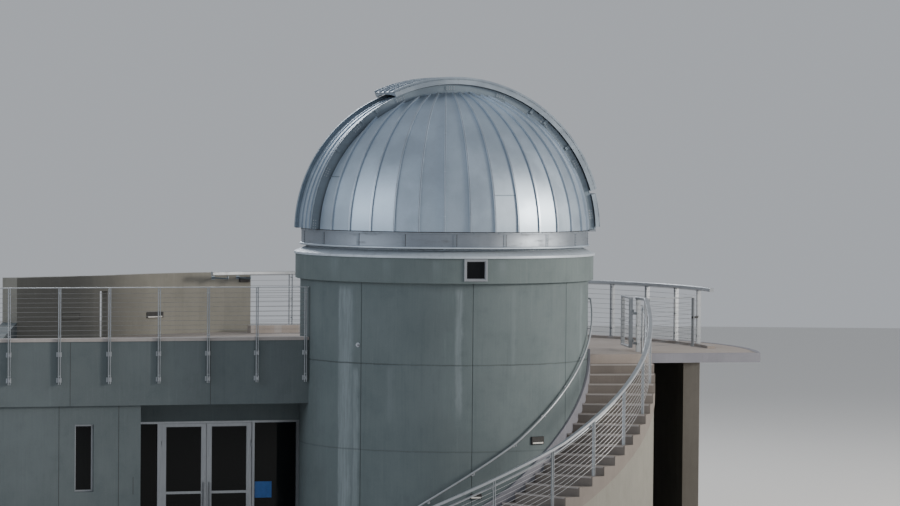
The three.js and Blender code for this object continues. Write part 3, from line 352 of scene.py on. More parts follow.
def ordered(one, other):
    """Two opposite corners of a box as its lowest and its highest one."""
    return zip(*(sorted(pair) for pair in zip(one, other)))


def block(shape, low, high, place):
    """A box between two corners, turned and moved by a matrix."""
    (x0, y0, z0), (x1, y1, z1) = ordered(low, high)
    plan = ((x0, y0), (x1, y0), (x1, y1), (x0, y1))
    faces = [(3, 2, 1, 0), (4, 5, 6, 7), (0, 1, 5, 4), (1, 2, 6, 5), (2, 3, 7, 6), (3, 0, 4, 7)]
    shape.add([place @ Vector((x, y, z)) for z in (z0, z1) for x, y in plan], faces)


def soft_block(shape, low, high, place, edge=0.003):
    """A box with its edges cut back, standing as an eight-sided bar with chamfered ends."""
    (x0, y0, z0), (x1, y1, z1) = ordered(low, high)
    sections = []
    for b, z in ((edge, z0), (0, z0 + edge), (0, z1 - edge), (edge, z1)):
        a = b + edge
        plan = (
            (x0 + a, y0 + b), (x1 - a, y0 + b), (x1 - b, y0 + a), (x1 - b, y1 - a),
            (x1 - a, y1 - b), (x0 + a, y1 - b), (x0 + b, y1 - a), (x0 + b, y0 + a),
        )
        sections.append([place @ Vector((x, y, z)) for x, y in plan])
    loft(shape, sections)


def flat_section(width, height, edge=0.003):
    w, h = width / 2, height / 2
    return [
        (-w + edge, -h), (w - edge, -h), (w, -h + edge), (w, h - edge),
        (w - edge, h), (-w + edge, h), (-w, h - edge), (-w, -h + edge),
    ]


def round_section(radius, sides):
    turn = 2 * pi / sides
    return [(radius * cos(turn * i), radius * sin(turn * i)) for i in range(sides)]


def rod(shape, start, end, radius, sides=12):
    start, end = Vector(start), Vector(end)
    along = (end - start).normalized()
    across = along.orthogonal().normalized()
    other = along.cross(across)
    ring = [across * s + other * u for s, u in round_section(radius, sides)]
    loft(shape, [[place + offset for offset in ring] for place in (start, end)])


def swept(shape, path, section):
    """Carries a section of (side, up) pairs along a path, upright and square to it in plan."""
    rings = []
    for i, point in enumerate(path):
        along = (path[min(len(path) - 1, i + 1)] - path[max(0, i - 1)]).normalized()
        side = Vector((along.y, -along.x, 0)).normalized()
        up = side.cross(along)
        rings.append([point + side * s + up * u for s, u in section])
    loft(shape, rings)


def bolt(shape, place, out, size):
    """A hexagon head on a washer, at a place on a face, pointing out of it."""
    radius, height = size
    out = out.normalized()
    rod(shape, place - out * 0.001, place + out * 0.002, radius * 1.5)
    rod(shape, place + out * 0.0015, place + out * (0.002 + height), radius, 6)


def mesh_object(name, shape):
    mesh = bpy.data.meshes.new(name)
    mesh.from_pydata(shape.points, [], shape.faces)
    piece = bpy.data.objects.new(name, mesh)
    bpy.context.scene.collection.objects.link(piece)
    return piece


def smooth(mesh):
    """Smooth shading with sharp edges where faces meet at more than a small angle."""
    mesh.polygons.foreach_set("use_smooth", [True] * len(mesh.polygons))
    mesh.set_sharp_from_angle(angle=radians(SHARP_ANGLE))


def make(name, shape, material, body="building", replaces=()):
    """Turns a shape into a piece that rides on a body."""
    piece = mesh_object(name, shape)
    piece.data.validate()
    piece.data.materials.append(material)
    smooth(piece.data)
    piece.data.update()
    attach(piece, body)
    if replaces:
        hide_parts(*replaces)
    return piece


# Places


def spin(angle):
    """A turn about the upright axis."""
    return Matrix.Rotation(radians(angle), 4, "Z")


def stand(place, angle):
    """A frame at a place, turned about the upright axis."""
    return Matrix.Translation(place) @ spin(angle)


def local(place, x, y, z):
    """A point of a frame, in the building's."""
    return place @ Vector((x, y, z))


def facing(place, x, y):
    """A level direction of a frame, in the building's."""
    return place.to_3x3() @ Vector((x, y, 0))


# In the dome's frame +X is the middle of the slit, in the wing's it runs along the front to the tower
SLIT_FRAME = spin(SLIT_BEARING - 90)
WING_FRAME = stand((*WING, 0), WING_TURN)


def slit_point(radius, lift, across):
    """A point at an angle up from the slit's foot, a distance across from the slit's middle."""
    turn = radians(lift)
    return local(SLIT_FRAME, radius * cos(turn), across, DOME_CENTRE + radius * sin(turn))


def lift_to(z, radius):
    """Angle up from the dome's centre at which a radius reaches a height."""
    return degrees(asin((z - DOME_CENTRE) / radius))


ARCH_FOOT = lift_to(RING_TOP + FOOT_GAP, ARCH_IN)


def terrace_point(radius, angle, z):
    turn = radians(angle)
    return Vector((TERRACE[0] + radius * cos(turn), TERRACE[1] + radius * sin(turn), z))


def nosing(step, radius, z):
    """A point over the stair at a radius, a number of steps down from the deck."""
    drop = min(step, UPPER_STEPS) * STEP_UPPER + max(0, step - UPPER_STEPS) * STEP_LOWER
    share = (radius - STAIR_IN) / (STAIR_OUT - STAIR_IN)
    return at_bearing(radius, NOSING_INNER + (NOSING_OUTER - NOSING_INNER) * share - drop, z)


def pitch(step, above, past=STAIR_RAIL_PAST):
    """Height over the line of nosings, level past the flight's foot and a few steps past its top."""
    return DECK - min(max(step, -past), STEP_COUNT) * RISER + above


def stations(above):
    """Steps at which the stair's posts stand, the first a little above the lowest step."""
    return [STEP_COUNT - above - POST_EVERY * i for i in range(POST_COUNT)]


# Materials


class Paint:
    """A Principled material and short names for the nodes that feed it."""

    def __init__(self, name, colour, roughness, metallic=0.0):
        self.material = bpy.data.materials.new(name)
        self.material.use_nodes = True
        self.nodes = self.material.node_tree.nodes
        self.links = self.material.node_tree.links
        self.shader = self.nodes["Principled BSDF"]
        self.shader.inputs["Base Color"].default_value = (*colour, 1)
        self.shader.inputs["Roughness"].default_value = roughness
        self.shader.inputs["Metallic"].default_value = metallic
        self.where = self.nodes.new("ShaderNodeTexCoord").outputs["Object"]

    def put(self, socket, value):
        if hasattr(value, "is_linked"):
            self.links.new(value, socket)
        elif value is not None:
            socket.default_value = value

    def node(self, kind, **inputs):
        """A node with its inputs set by name, an underscore standing for a space."""
        node = self.nodes.new(kind)
        for key, value in inputs.items():
            self.put(node.inputs[key.replace("_", " ")], value)
        return node

    def noise(self, scale, detail, rough, stretch=None):
        where = self.where
        if stretch:
            where = self.node("ShaderNodeMapping", Scale=stretch, Vector=where).outputs["Vector"]
        node = self.node("ShaderNodeTexNoise", Scale=scale, Detail=detail, Roughness=rough, Vector=where)
        return node.outputs["Fac"]

    def cells(self, scale):
        return self.node("ShaderNodeTexVoronoi", Scale=scale, Vector=self.where)

    def maths(self, kind, a, b=None):
        node = self.nodes.new("ShaderNodeMath")
        node.operation = kind
        for socket, value in zip(node.inputs, (a, b)):
            self.put(socket, value)
        return node.outputs[0]

    def times(self, a, b):
        return self.maths("MULTIPLY", a, b)

    def plus(self, a, b):
        return self.maths("ADD", a, b)

    def minus(self, a, b):
        return self.maths("SUBTRACT", a, b)

    def apart(self, a, b):
        return self.maths("ABSOLUTE", self.minus(a, b))

    def ramp(self, value, low, high, start=0.0, end=1.0):
        limits = {"From_Min": low, "From_Max": high, "To_Min": start, "To_Max": end}
        node = self.node("ShaderNodeMapRange", Value=value, **limits)
        node.interpolation_type = "SMOOTHSTEP"
        return node.outputs["Result"]

    def blend(self, amount, a, b):
        node = self.nodes.new("ShaderNodeMix")
        node.data_type = "RGBA"
        self.put(node.inputs["Factor"], amount)
        for key, colour in (("A", a), ("B", b)):
            socket = next(s for s in node.inputs if s.name == key and s.type == "RGBA")
            self.put(socket, (*colour, 1) if isinstance(colour, tuple) else colour)
        return next(s for s in node.outputs if s.type == "RGBA")

    def layers(self, colour, *coats):
        """Lays colours over one another, each by as much as its value climbs from low to high."""
        for value, low, high, most, coat in coats:
            colour = self.blend(self.ramp(value, low, high, 0, most), colour, coat)
        return colour

    def axes(self, where=None):
        return self.node("ShaderNodeSeparateXYZ", Vector=where or self.where).outputs

    def bearing(self):
        """Bearing round the tower's axis in degrees, from -180 to 180."""
        x, y, _ = self.axes()
        return self.maths("DEGREES", self.maths("ARCTAN2", x, self.times(y, -1.0)))

    def bump(self, height, strength, distance, below=None):
        node = self.node("ShaderNodeBump", Strength=strength, Distance=distance, Height=height, Normal=below)
        return node.outputs["Normal"]

    def finish(self, colour, roughness, normal=None):
        for key, value in (("Base Color", colour), ("Roughness", roughness), ("Normal", normal)):
            self.put(self.shader.inputs[key], value)
        return self.material


def shade(tint, factor):
    return tuple(channel * factor for channel in tint)


def concrete(name, tint, dark, pale, streaks=(), levels=()):
    """Cast concrete: a quiet tone with fine upright marks, air holes, pale broken streaks and pour lines."""
    paint = Paint(name, tint, 0.85)
    height = paint.axes()[2]
    cloud = paint.noise(0.7, 3, 0.5)
    patch = paint.noise(2.6, 5, 0.62)
    runs = paint.noise(3.6, 5, 0.65, (1.8, 1.8, 0.07))
    marks = paint.noise(14, 5, 0.7, (2.0, 2.0, 0.12))
    fine = paint.noise(60, 3, 0.6)
    grain = paint.noise(240, 2, 0.5)
    waver = paint.minus(patch, 0.5)
    colour = paint.layers(
        tint, (cloud, 0.3, 0.7, 0.45, dark), (patch, 0.5, 0.75, 0.28, dark), (runs, 0.54, 0.78, 0.4, dark),
        (runs, 0.42, 0.24, 0.3, pale), (marks, 0.5, 0.75, 0.3, dark), (marks, 0.46, 0.25, 0.25, pale),
    )
    if streaks:
        angle = paint.plus(paint.bearing(), paint.times(waver, 2.2))
        broken = paint.times(paint.ramp(runs, 0.3, 0.6, 0.35), paint.ramp(marks, 0.35, 0.6, 0.45))
    for middle, half, low, high, strength in streaks:
        stroke = paint.ramp(paint.apart(angle, middle), half * 1.9, half * 0.4)
        held = paint.times(paint.ramp(height, low, low + 0.6), paint.ramp(height, high, high - 0.2))
        amount = paint.times(paint.times(stroke, held), broken)
        colour = paint.blend(paint.times(amount, strength), colour, STREAK_TINT)
    for level, strength in levels:
        away = paint.apart(paint.plus(height, paint.times(waver, 0.03)), level)
        faint = paint.ramp(cloud, 0.3, 0.6, strength * 0.6, strength)
        colour = paint.blend(paint.times(paint.ramp(away, 0.022, 0.004), faint), colour, shade(dark, 0.5))
    holes = paint.ramp(paint.cells(38).outputs["Distance"], 0.13, 0.06)
    pits = paint.times(holes, paint.ramp(fine, 0.5, 0.62))
    # Air holes drawn darker: painted shade inside them.
    colour = paint.blend(paint.times(pits, 0.6), colour, shade(dark, 0.35))
    colour = paint.layers(colour, (fine, 0.35, 0.7, 0.16, pale))
    relief = paint.minus(paint.plus(paint.times(fine, 0.4), grain), pits)
    normal = paint.bump(relief, 0.22, 0.0035, paint.bump(marks, 0.12, 0.004))
    paint.shader.inputs["Specular IOR Level"].default_value = 0.35
    return paint.finish(colour, paint.ramp(patch, 0.3, 0.7, 0.74, 0.92), normal)


def galvanised(name, tint, low, high, gores=False, stains=0.0):
    """Zinc-coated sheet: spangle, weather marks, a slow change of tone from panel to panel, and on gores
    edges darkened by the seams, partly grime and partly painted shade.
    """
    paint = Paint(name, tint, 0.4, 0.82)
    flake = paint.axes(paint.cells(55).outputs["Color"])[0]
    haze = paint.noise(1.3, 5, 0.6)
    runs = paint.noise(5, 5, 0.65, (1.5, 1.5, 0.16))
    fine = paint.noise(90, 3, 0.6)
    dark = shade(tint, 0.78)
    colour = paint.blend(paint.ramp(haze, 0.3, 0.7, 0.35), dark, shade(tint, 1.06))
    colour = paint.layers(colour, (flake, 0, 1, 0.14, dark), (runs, 0.5, 0.8, 0.3, dark))
    rough = paint.ramp(haze, 0.3, 0.7, low, high)
    if gores:
        gore = paint.maths("DIVIDE", paint.bearing(), GORE_ANGLE)
        white = paint.nodes.new("ShaderNodeTexWhiteNoise")
        white.noise_dimensions = "1D"
        paint.put(white.inputs["W"], paint.maths("FLOOR", gore))
        tone = white.outputs["Value"]
        colour = paint.layers(colour, (tone, 0, 1, 0.35, dark))
        # Gores drawn darker towards their seams: partly grime, partly painted shade in the creases where the
        # seams stand up.
        across = paint.apart(paint.maths("FRACT", gore), 0.5)
        edge = paint.times(paint.ramp(across, 0.38, 0.5, 0, 0.4), paint.ramp(runs, 0.25, 0.6, 0.5))
        colour = paint.blend(edge, colour, shade(tint, 0.5))
        rough = paint.plus(rough, paint.times(tone, 0.06))
    if stains:
        blot = paint.noise(2.2, 4, 0.55, (1, 1, 4.5))
        drips = paint.noise(9, 3, 0.6, (1, 1, 0.12))
        grime = paint.times(paint.ramp(blot, 0.52, 0.72), paint.ramp(drips, 0.3, 0.7, 0.4))
        colour = paint.blend(paint.times(grime, stains), colour, GRIME_TINT)
        rough = paint.plus(rough, paint.times(grime, 0.15))
    normal = paint.bump(paint.plus(fine, flake), 0.05, 0.0015, paint.bump(haze, 0.06, 0.01))
    return paint.finish(colour, rough, normal)


def rail_finish(name, tint, low, high, metallic):
    """Painted or coated steel: a dull satin tone with grubby patches and a fine grain."""
    paint = Paint(name, tint, 0.45, metallic)
    patch = paint.noise(7, 4, 0.6)
    fine = paint.noise(160, 3, 0.6)
    dark = shade(tint, 0.66)
    colour = paint.layers(tint, (patch, 0.45, 0.75, 0.5, dark), (fine, 0.45, 0.7, 0.15, dark))
    return paint.finish(colour, paint.ramp(patch, 0.3, 0.7, low, high), paint.bump(fine, 0.06, 0.001))


def brushed(name, tint):
    """Anodised section, drawn along its length."""
    paint = Paint(name, tint, 0.38, 0.75)
    lines = paint.noise(90, 3, 0.6, (1, 1, 0.02))
    patch = paint.noise(5, 4, 0.6)
    dark = shade(tint, 0.75)
    colour = paint.layers(tint, (lines, 0.3, 0.7, 0.3, dark), (patch, 0.5, 0.75, 0.3, dark))
    return paint.finish(colour, paint.ramp(lines, 0.3, 0.7, 0.32, 0.46), paint.bump(lines, 0.05, 0.0008))


def cable_finish(name, dark, light):
    """Stranded stainless cable."""
    paint = Paint(name, dark, 0.4, 0.7)
    lay = paint.noise(500, 2, 0.5)
    colour = paint.blend(paint.ramp(lay, 0.4, 0.6), dark, light)
    return paint.finish(colour, paint.ramp(lay, 0.3, 0.7, 0.25, 0.45), paint.bump(lay, 0.2, 0.001))


def glazing():
    """Float glass drawn opaque and near black, painted shade for the dark rooms behind it, with a trace of
    dust.
    """
    paint = Paint("glass_painted_dark_interior", (0.006, 0.007, 0.008), 0.04)
    dust = paint.noise(2.2, 5, 0.65, (1, 1, 0.5))
    colour = paint.layers((0.005, 0.006, 0.007), (dust, 0.5, 0.8, 0.14, (0.05, 0.053, 0.056)))
    paint.shader.inputs["IOR"].default_value = 1.26
    return paint.finish(colour, paint.ramp(dust, 0.4, 0.8, 0.03, 0.16))


def plain(name, tint, roughness):
    """Small parts: a tint that wanders a little, with a fine grain."""
    paint = Paint(name, tint, roughness)
    patch = paint.noise(14, 4, 0.6)
    fine = paint.noise(220, 2, 0.5)
    colour = paint.layers(tint, (patch, 0.4, 0.75, 0.6, shade(tint, 0.7)))
    rough = paint.ramp(patch, 0.3, 0.7, roughness * 0.85, roughness * 1.15)
    return paint.finish(colour, rough, paint.bump(fine, 0.08, 0.001))


STREAK_TINT = (0.215, 0.255, 0.275)
GRIME_TINT = (0.16, 0.17, 0.18)

# Streaks, as bearing, half width in degrees, lowest and highest point, and strength
TOWER_STREAKS = (
    (-41.5, 2.6, 0.0, 5.4, 1.0), (-36.2, 1.1, 0.0, 3.85, 0.8), (-44.6, 0.5, 0.0, 5.4, 0.7),
    (5.8, 1.0, 2.6, 5.4, 0.75), (28.0, 0.7, 3.4, 5.4, 0.25), (-21.0, 0.9, 2.6, 3.9, 0.3),
    (70.0, 1.2, 0.5, 5.4, 0.4), (124.0, 1.6, 0.0, 5.4, 0.6), (171.0, 0.9, 0.0, 3.8, 0.6),
    (-98.0, 1.4, 0.0, 5.4, 0.6), (-150.0, 1.8, 0.0, 5.4, 0.5),
)
CORNICE_STREAKS = [
    (bearing, half, 5.3, 5.95, strength)
    for bearing, half, strength in (
        (-46.0, 1.8, 0.4), (-22.0, 1.2, 0.3), (-3.0, 1.4, 0.35), (22.0, 1.6, 0.35),
        (80.0, 1.8, 0.4), (150.0, 1.6, 0.4), (-120.0, 1.6, 0.4),
    )
]

# Concretes, each with its tint, a darker and a paler one
TOWER_CONCRETE = concrete(
    "tower_concrete", (0.122, 0.152, 0.16), (0.08, 0.102, 0.109), (0.168, 0.202, 0.212),
    TOWER_STREAKS, JOINT_LEVELS,
)
CORNICE_CONCRETE = concrete(
    "cornice_concrete", (0.128, 0.16, 0.165), (0.086, 0.11, 0.115), (0.178, 0.212, 0.218), CORNICE_STREAKS
)
WING_CONCRETE = concrete("wing_concrete", (0.11, 0.134, 0.143), (0.074, 0.092, 0.1), (0.15, 0.177, 0.187))
WALL_CONCRETE = concrete("back_concrete", (0.225, 0.22, 0.195), (0.158, 0.154, 0.136), (0.285, 0.278, 0.248))
PIER_CONCRETE = concrete("pier_concrete", (0.175, 0.162, 0.143), (0.115, 0.106, 0.094), (0.23, 0.214, 0.192))
DECK_CONCRETE = concrete("deck_concrete", (0.33, 0.292, 0.268), (0.25, 0.22, 0.2), (0.4, 0.36, 0.332))
STAIR_CONCRETE = concrete("stair_concrete", (0.2, 0.178, 0.162), (0.138, 0.122, 0.111), (0.258, 0.233, 0.213))
EDGE_CONCRETE = concrete("edge_concrete", (0.215, 0.218, 0.25), (0.155, 0.157, 0.183), (0.275, 0.278, 0.312))
COPING_CONCRETE = concrete("coping_concrete", (0.36, 0.335, 0.325), (0.27, 0.25, 0.242), (0.44, 0.412, 0.4))
DOME_METAL = galvanised("dome_sheet", (0.43, 0.515, 0.61), 0.35, 0.46, gores=True)
# The seams' sheet is a paler copy of the gores' sheet: a painted highlight on the lips.
SEAM_METAL_HIGHLIGHT = galvanised("seam_sheet_painted_highlight", (0.56, 0.64, 0.73), 0.32, 0.42)
# The shutter's sheet is drawn darker than the gores' sheet: partly grime, partly painted shade on its sides.
SHUTTER_METAL_GRIME_AND_SHADE = galvanised("shutter_sheet_grime_and_shade", (0.36, 0.42, 0.485), 0.36, 0.48, stains=0.15)
# The arch sheet is drawn far darker than the gores' sheet: partly grime, partly painted shade on its upright
# faces.
ARCH_METAL_GRIME_AND_SHADE = galvanised("arch_sheet_grime_and_shade", (0.22, 0.27, 0.32), 0.4, 0.54, stains=0.25)
RING_METAL = galvanised("ring_sheet", (0.24, 0.27, 0.31), 0.42, 0.56, stains=0.45)
FLASHING_METAL = rail_finish("flashing_sheet", (0.5, 0.56, 0.62), 0.4, 0.55, 0.35)
RAIL_METAL = rail_finish("rail_steel", (0.4, 0.425, 0.455), 0.34, 0.48, 0.55)
CABLE = cable_finish("cable_steel", (0.18, 0.183, 0.19), (0.33, 0.335, 0.345))
# The stair guard's cables: the same steel cable drawn much paler, a painted highlight as of sunlit cable.
STAIR_CABLE_PAINTED_LIGHT = cable_finish("stair_cable_steel_painted_light", (0.5, 0.505, 0.52), (0.74, 0.745, 0.76))
FRAME_METAL = brushed("frame_aluminium", (0.38, 0.4, 0.43))
GLASS = glazing()
# Dark rubber, housings, clamps and joint lines; also the painted shade strips in the slit's gaps and the
# painted shadow line along the ring's top.
DARK = plain("dark_rubber_and_painted_shade", (0.02, 0.02, 0.021), 0.6)
LENS = plain("lamp_lens", (0.75, 0.74, 0.7), 0.3)
BLUE = plain("blue_plate", (0.02, 0.13, 0.42), 0.4)


# Tower


def cut_through(piece, width, low, high, bearing, outer):
    """Takes a doorway or a window through the round wall out of a piece, for good."""
    shape = Shape()
    block(shape, (-width / 2, -outer, low), (width / 2, OPENING_MARGIN - TOWER_IN, high), spin(bearing))
    cutter = mesh_object("cutter", shape)
    change = piece.modifiers.new("opening", "BOOLEAN")
    change.operation = "DIFFERENCE"
    change.solver = "EXACT"
    change.object = cutter
    bpy.context.view_layer.update()
    graph = bpy.context.evaluated_depsgraph_get()
    mesh = bpy.data.meshes.new_from_object(piece.evaluated_get(graph))
    piece.modifiers.clear()
    old = piece.data
    piece.data = mesh
    bpy.data.meshes.remove(old)
    bpy.data.objects.remove(cutter)
    smooth(mesh)


def tower_panels():
    """Cast panels with small chamfers at their edges, so that the joints read as thin lines."""
    joint = degrees(PANEL_GAP / TOWER_R)
    slope = degrees((PANEL_GAP + PANEL_CHAMFER) / TOWER_R)
    for i in range(PANELS):
        start = FIRST_PANEL + i * PANEL_ANGLE
        end = start + PANEL_ANGLE
        places = [(TOWER_R, bearing) for bearing in spread(start + slope, end - slope, CURVE_STEP)]
        places.insert(0, (TOWER_R - PANEL_CHAMFER, start + joint))
        places.append((TOWER_R - PANEL_CHAMFER, end - joint))
        sections = []
        for r, bearing in places:
            outline = ((TOWER_IN, 0), (r, 0), (r, CORNICE_BOTTOM), (TOWER_IN, CORNICE_BOTTOM))
            sections.append([at_bearing(radius, bearing, z) for radius, z in outline])
        shape = Shape()
        loft(shape, sections)
        node = f"tower_wall_{i + 1}"
        piece = make(f"tower_panel_{i + 1}", shape, TOWER_CONCRETE, replaces=(node,))
        if start < TOWER_DOOR[-1] < end:
            cut_through(piece, *TOWER_DOOR, TOWER_R + 0.2)


def cornice():
    r, low, high = CORNICE_R, CORNICE_BOTTOM, CORNICE_TOP
    shape = Shape()
    turned(shape, [
        (TOWER_IN, low), (r - 0.02, low), (r, low + 0.008), (r, high - 0.006), (r - 0.006, high),
        (TOWER_IN, high),
    ])
    piece = make("cornice_band", shape, CORNICE_CONCRETE, replaces=("cornice",))
    cut_through(piece, 2 * WINDOW_HALF, WINDOW_LOW, WINDOW_HIGH, WINDOW_BEARING, CORNICE_R + 0.1)


def square_window():
    """Mitred frame with a bead round the dark pane."""
    shape = Shape()
    front = -CORNICE_R - 0.013
    face = WINDOW_FACE
    loops = []
    for inset, back in (
        (0, WINDOW_DEPTH), (0, 0.003), (0.003, 0), (face - 0.018, 0), (face - 0.015, 0.012),
        (face - 0.002, 0.014), (face, 0.018), (face, WINDOW_DEPTH),
    ):
        x = WINDOW_HALF - GAP - inset
        low, high = WINDOW_LOW + GAP + inset, WINDOW_HIGH - GAP - inset
        corners = ((-x, low), (x, low), (x, high), (-x, high))
        loops.append([local(spin(WINDOW_BEARING), a, front + back, z) for a, z in corners])
    loft(shape, loops, closed=True)
    make("square_window_surround", shape, FRAME_METAL, replaces=("square_window_frame",))


def flashing():
    """Sloped sheet with a rolled drip edge, in lengths with lapped joints."""
    shape = Shape()
    r, top, rim, up = FLASHING_R, CORNICE_TOP, FLASHING_IN, UPSTAND_TOP
    turned(shape, [
        (TRACK_IN, top + GAP), (r - 0.004, top + GAP), (r - 0.004, top - 0.016), (r, top - 0.018),
        (r + 0.002, top - 0.01), (r, top + 0.024), (r - 0.01, top + 0.03), (rim + 0.04, up),
        (rim + 0.035, up), (rim + 0.035, FLASHING_TOP), (TRACK_IN, FLASHING_TOP),
    ])
    lap = [
        (r + 0.003, top - 0.012), (r + 0.002, top + 0.026), (r - 0.01, top + 0.033), (rim + 0.05, up),
        (rim + 0.05, up - 0.012), (r - 0.012, top + 0.02),
    ]
    half = degrees(FLASHING_LAP / r)
    for bearing in spread(0, 340, 20):
        turned(shape, lap, bearing - half, bearing + half, 1)
    make("flashing_sheet", shape, FLASHING_METAL, replaces=("cornice_flashing",))


# Dome


def gore_point(lift, gore, bearing, rise=0.0):
    """A point of a gore whose horizontal section is a straight chord between its seams."""
    half = radians(GORE_ANGLE / 2)
    radius = DOME_R + rise
    reach = radius * cos(radians(lift)) * cos(half) / cos(radians(bearing - gore) - half)
    return at_bearing(reach, bearing, DOME_CENTRE + radius * sin(radians(lift)))


def clipped(polygon, side):
    """The part of a polygon past the slit's edge, on one side."""
    kept = []
    for here, there in zip(polygon, polygon[1:] + polygon[:1]):
        a, b = side * here.y - GORE_EDGE, side * there.y - GORE_EDGE
        if a >= 0:
            kept.append(here)
        if (a >= 0) != (b >= 0):
            kept.append(here.lerp(there, a / (a - b)))
    return kept


def welded(polygons):
    """Shared points, and faces that point to them, for polygons that meet edge to edge."""
    places, points, faces = {}, [], []
    for polygon in polygons:
        face = []
        for point in polygon:
            key = tuple(round(value, 5) for value in point)
            if key not in places:
                places[key] = len(points)
                points.append(point)
            if places[key] not in face:
                face.append(places[key])
        if len(face) >= 3:
            faces.append(tuple(face))
    return points, faces


def thicken(shape, points, faces, inner):
    """Closes a sheet with a second one inside it and walls round their rims."""
    count = len(points)
    edges = {(face[i], face[(i + 1) % len(face)]) for face in faces for i in range(len(face))}
    walls = [(b, a, a + count, b + count) for a, b in sorted(edges) if (b, a) not in edges]
    backs = [tuple(count + corner for corner in reversed(face)) for face in faces]
    shape.add(points + inner, faces + backs + walls)


def gores():
    """Gores bent to the dome's curve and flat across, each a closed sheet of its own."""
    back = SLIT_FRAME.inverted()
    centre = UP * DOME_CENTRE
    lifts = spread(lift_to(RING_TOP + 0.002, DOME_R), GORE_HEAD, CURVE_STEP)
    for side, label in SIDES:
        skin = Shape()
        for gore in range(0, 360, GORE_ANGLE):
            fan = spread(gore, gore + GORE_ANGLE, GORE_ANGLE / 4)
            levels = [[back @ gore_point(lift, gore, bearing) for bearing in fan] for lift in lifts]
            polygons = []
            for low, high in zip(levels, levels[1:]):
                for j in range(len(fan) - 1):
                    polygons.append(clipped([low[j], low[j + 1], high[j + 1], high[j]], side))
            points, faces = welded(polygons)
            points = [SLIT_FRAME @ point for point in points]
            inner = [centre.lerp(point, 1 - GORE_THICK / DOME_R) for point in points]
            thicken(skin, points, faces, inner)
        shells = (f"dome_shell_{label}_1", f"dome_shell_{label}_2")
        make(f"gores_{label}", skin, DOME_METAL, "dome", shells)


def laps():
    """Cross joints where a few of the gores are made of two lengths."""
    shape = Shape()
    for gore, height in GORE_LAPS:
        low = lift_to(height, DOME_R)
        corners = ((low, -0.003), (low, 0.003), (low + 0.4, 0.003), (low + 0.4, -0.003))
        sections = []
        for bearing in spread(gore + 0.2, gore + GORE_ANGLE - 0.2, GORE_ANGLE / 4):
            sections.append([gore_point(lift, gore, bearing, rise) for lift, rise in corners])
        loft(shape, sections)
    make("gore_laps", shape, ARCH_METAL_GRIME_AND_SHADE, "dome")


def sector(shape, r0, r1, low, high, y0, y1, step=CURVE_STEP, edge=0.0):
    """Ring sector in the slit's plane between two angles up from the slit's foot."""
    y0, y1 = sorted((y0, y1))
    if edge:
        outline = ((r0, y0), (r1 - edge, y0), (r1, y0 + edge), (r1, y1 - edge), (r1 - edge, y1), (r0, y1))
    else:
        outline = ((r0, y0), (r1, y0), (r1, y1), (r0, y1))
    loft(shape, [[slit_point(r, lift, y) for r, y in outline] for lift in spread(low, high, step)])


def slit_gap_shade_strips():
    """Dark strips down in the gaps between the gores and the arches: painted shade in the gaps."""
    shape = Shape()
    for side, _ in SIDES:
        inner, outer = side * (SLIT_HALF + ARCH_THICK + FOOT_GAP), side * (GORE_EDGE + 0.01)
        sector(shape, ARCH_IN, ARCH_IN + 0.02, ARCH_FOOT, 180 - ARCH_FOOT, inner, outer)
    make("slit_gap_shade", shape, DARK, "dome")


def seams():
    """Standing seams between the gores: two lips with a dark slot between them."""
    back = SLIT_FRAME.inverted()
    centre = UP * DOME_CENTRE
    edge = SLIT_HALF + ARCH_THICK + 0.006
    levels = spread(lift_to(RING_TOP, DOME_R), SEAM_HEAD, CURVE_STEP)
    for side, label in SIDES:
        shape, heads = Shape(), Shape()
        for bearing in range(0, 360, GORE_ANGLE):
            across = at_bearing(1, bearing + 90)
            outs = [at_bearing(cos(radians(lift)), bearing, sin(radians(lift))) for lift in levels]
            outs = [out for out in outs if side * (back @ out).y * DOME_R > edge]
            if len(outs) < 2:
                continue
            for hand in (-1, 1):
                near = across * (hand * SEAM_GAP / 2)
                far = across * (hand * (SEAM_GAP / 2 + SEAM_LIP))
                sections = []
                for out in outs:
                    foot, top = centre + out * (DOME_R - 0.012), centre + out * (DOME_R + SEAM_TALL)
                    sections.append([foot + near, top + near, top + far, foot + far][::hand])
                loft(shape, sections)
            for out in outs[4::12]:
                place = centre + out * (DOME_R + SEAM_TALL / 2)
                for hand in (-1, 1):
                    rod(heads, place, place + across * (hand * (SEAM_GAP / 2 + SEAM_LIP + 0.006)), 0.007, 6)
        make(f"gore_seams_{label}", shape, SEAM_METAL_HIGHLIGHT, "dome")
        make(f"gore_bolts_{label}", heads, SEAM_METAL_HIGHLIGHT, "dome")


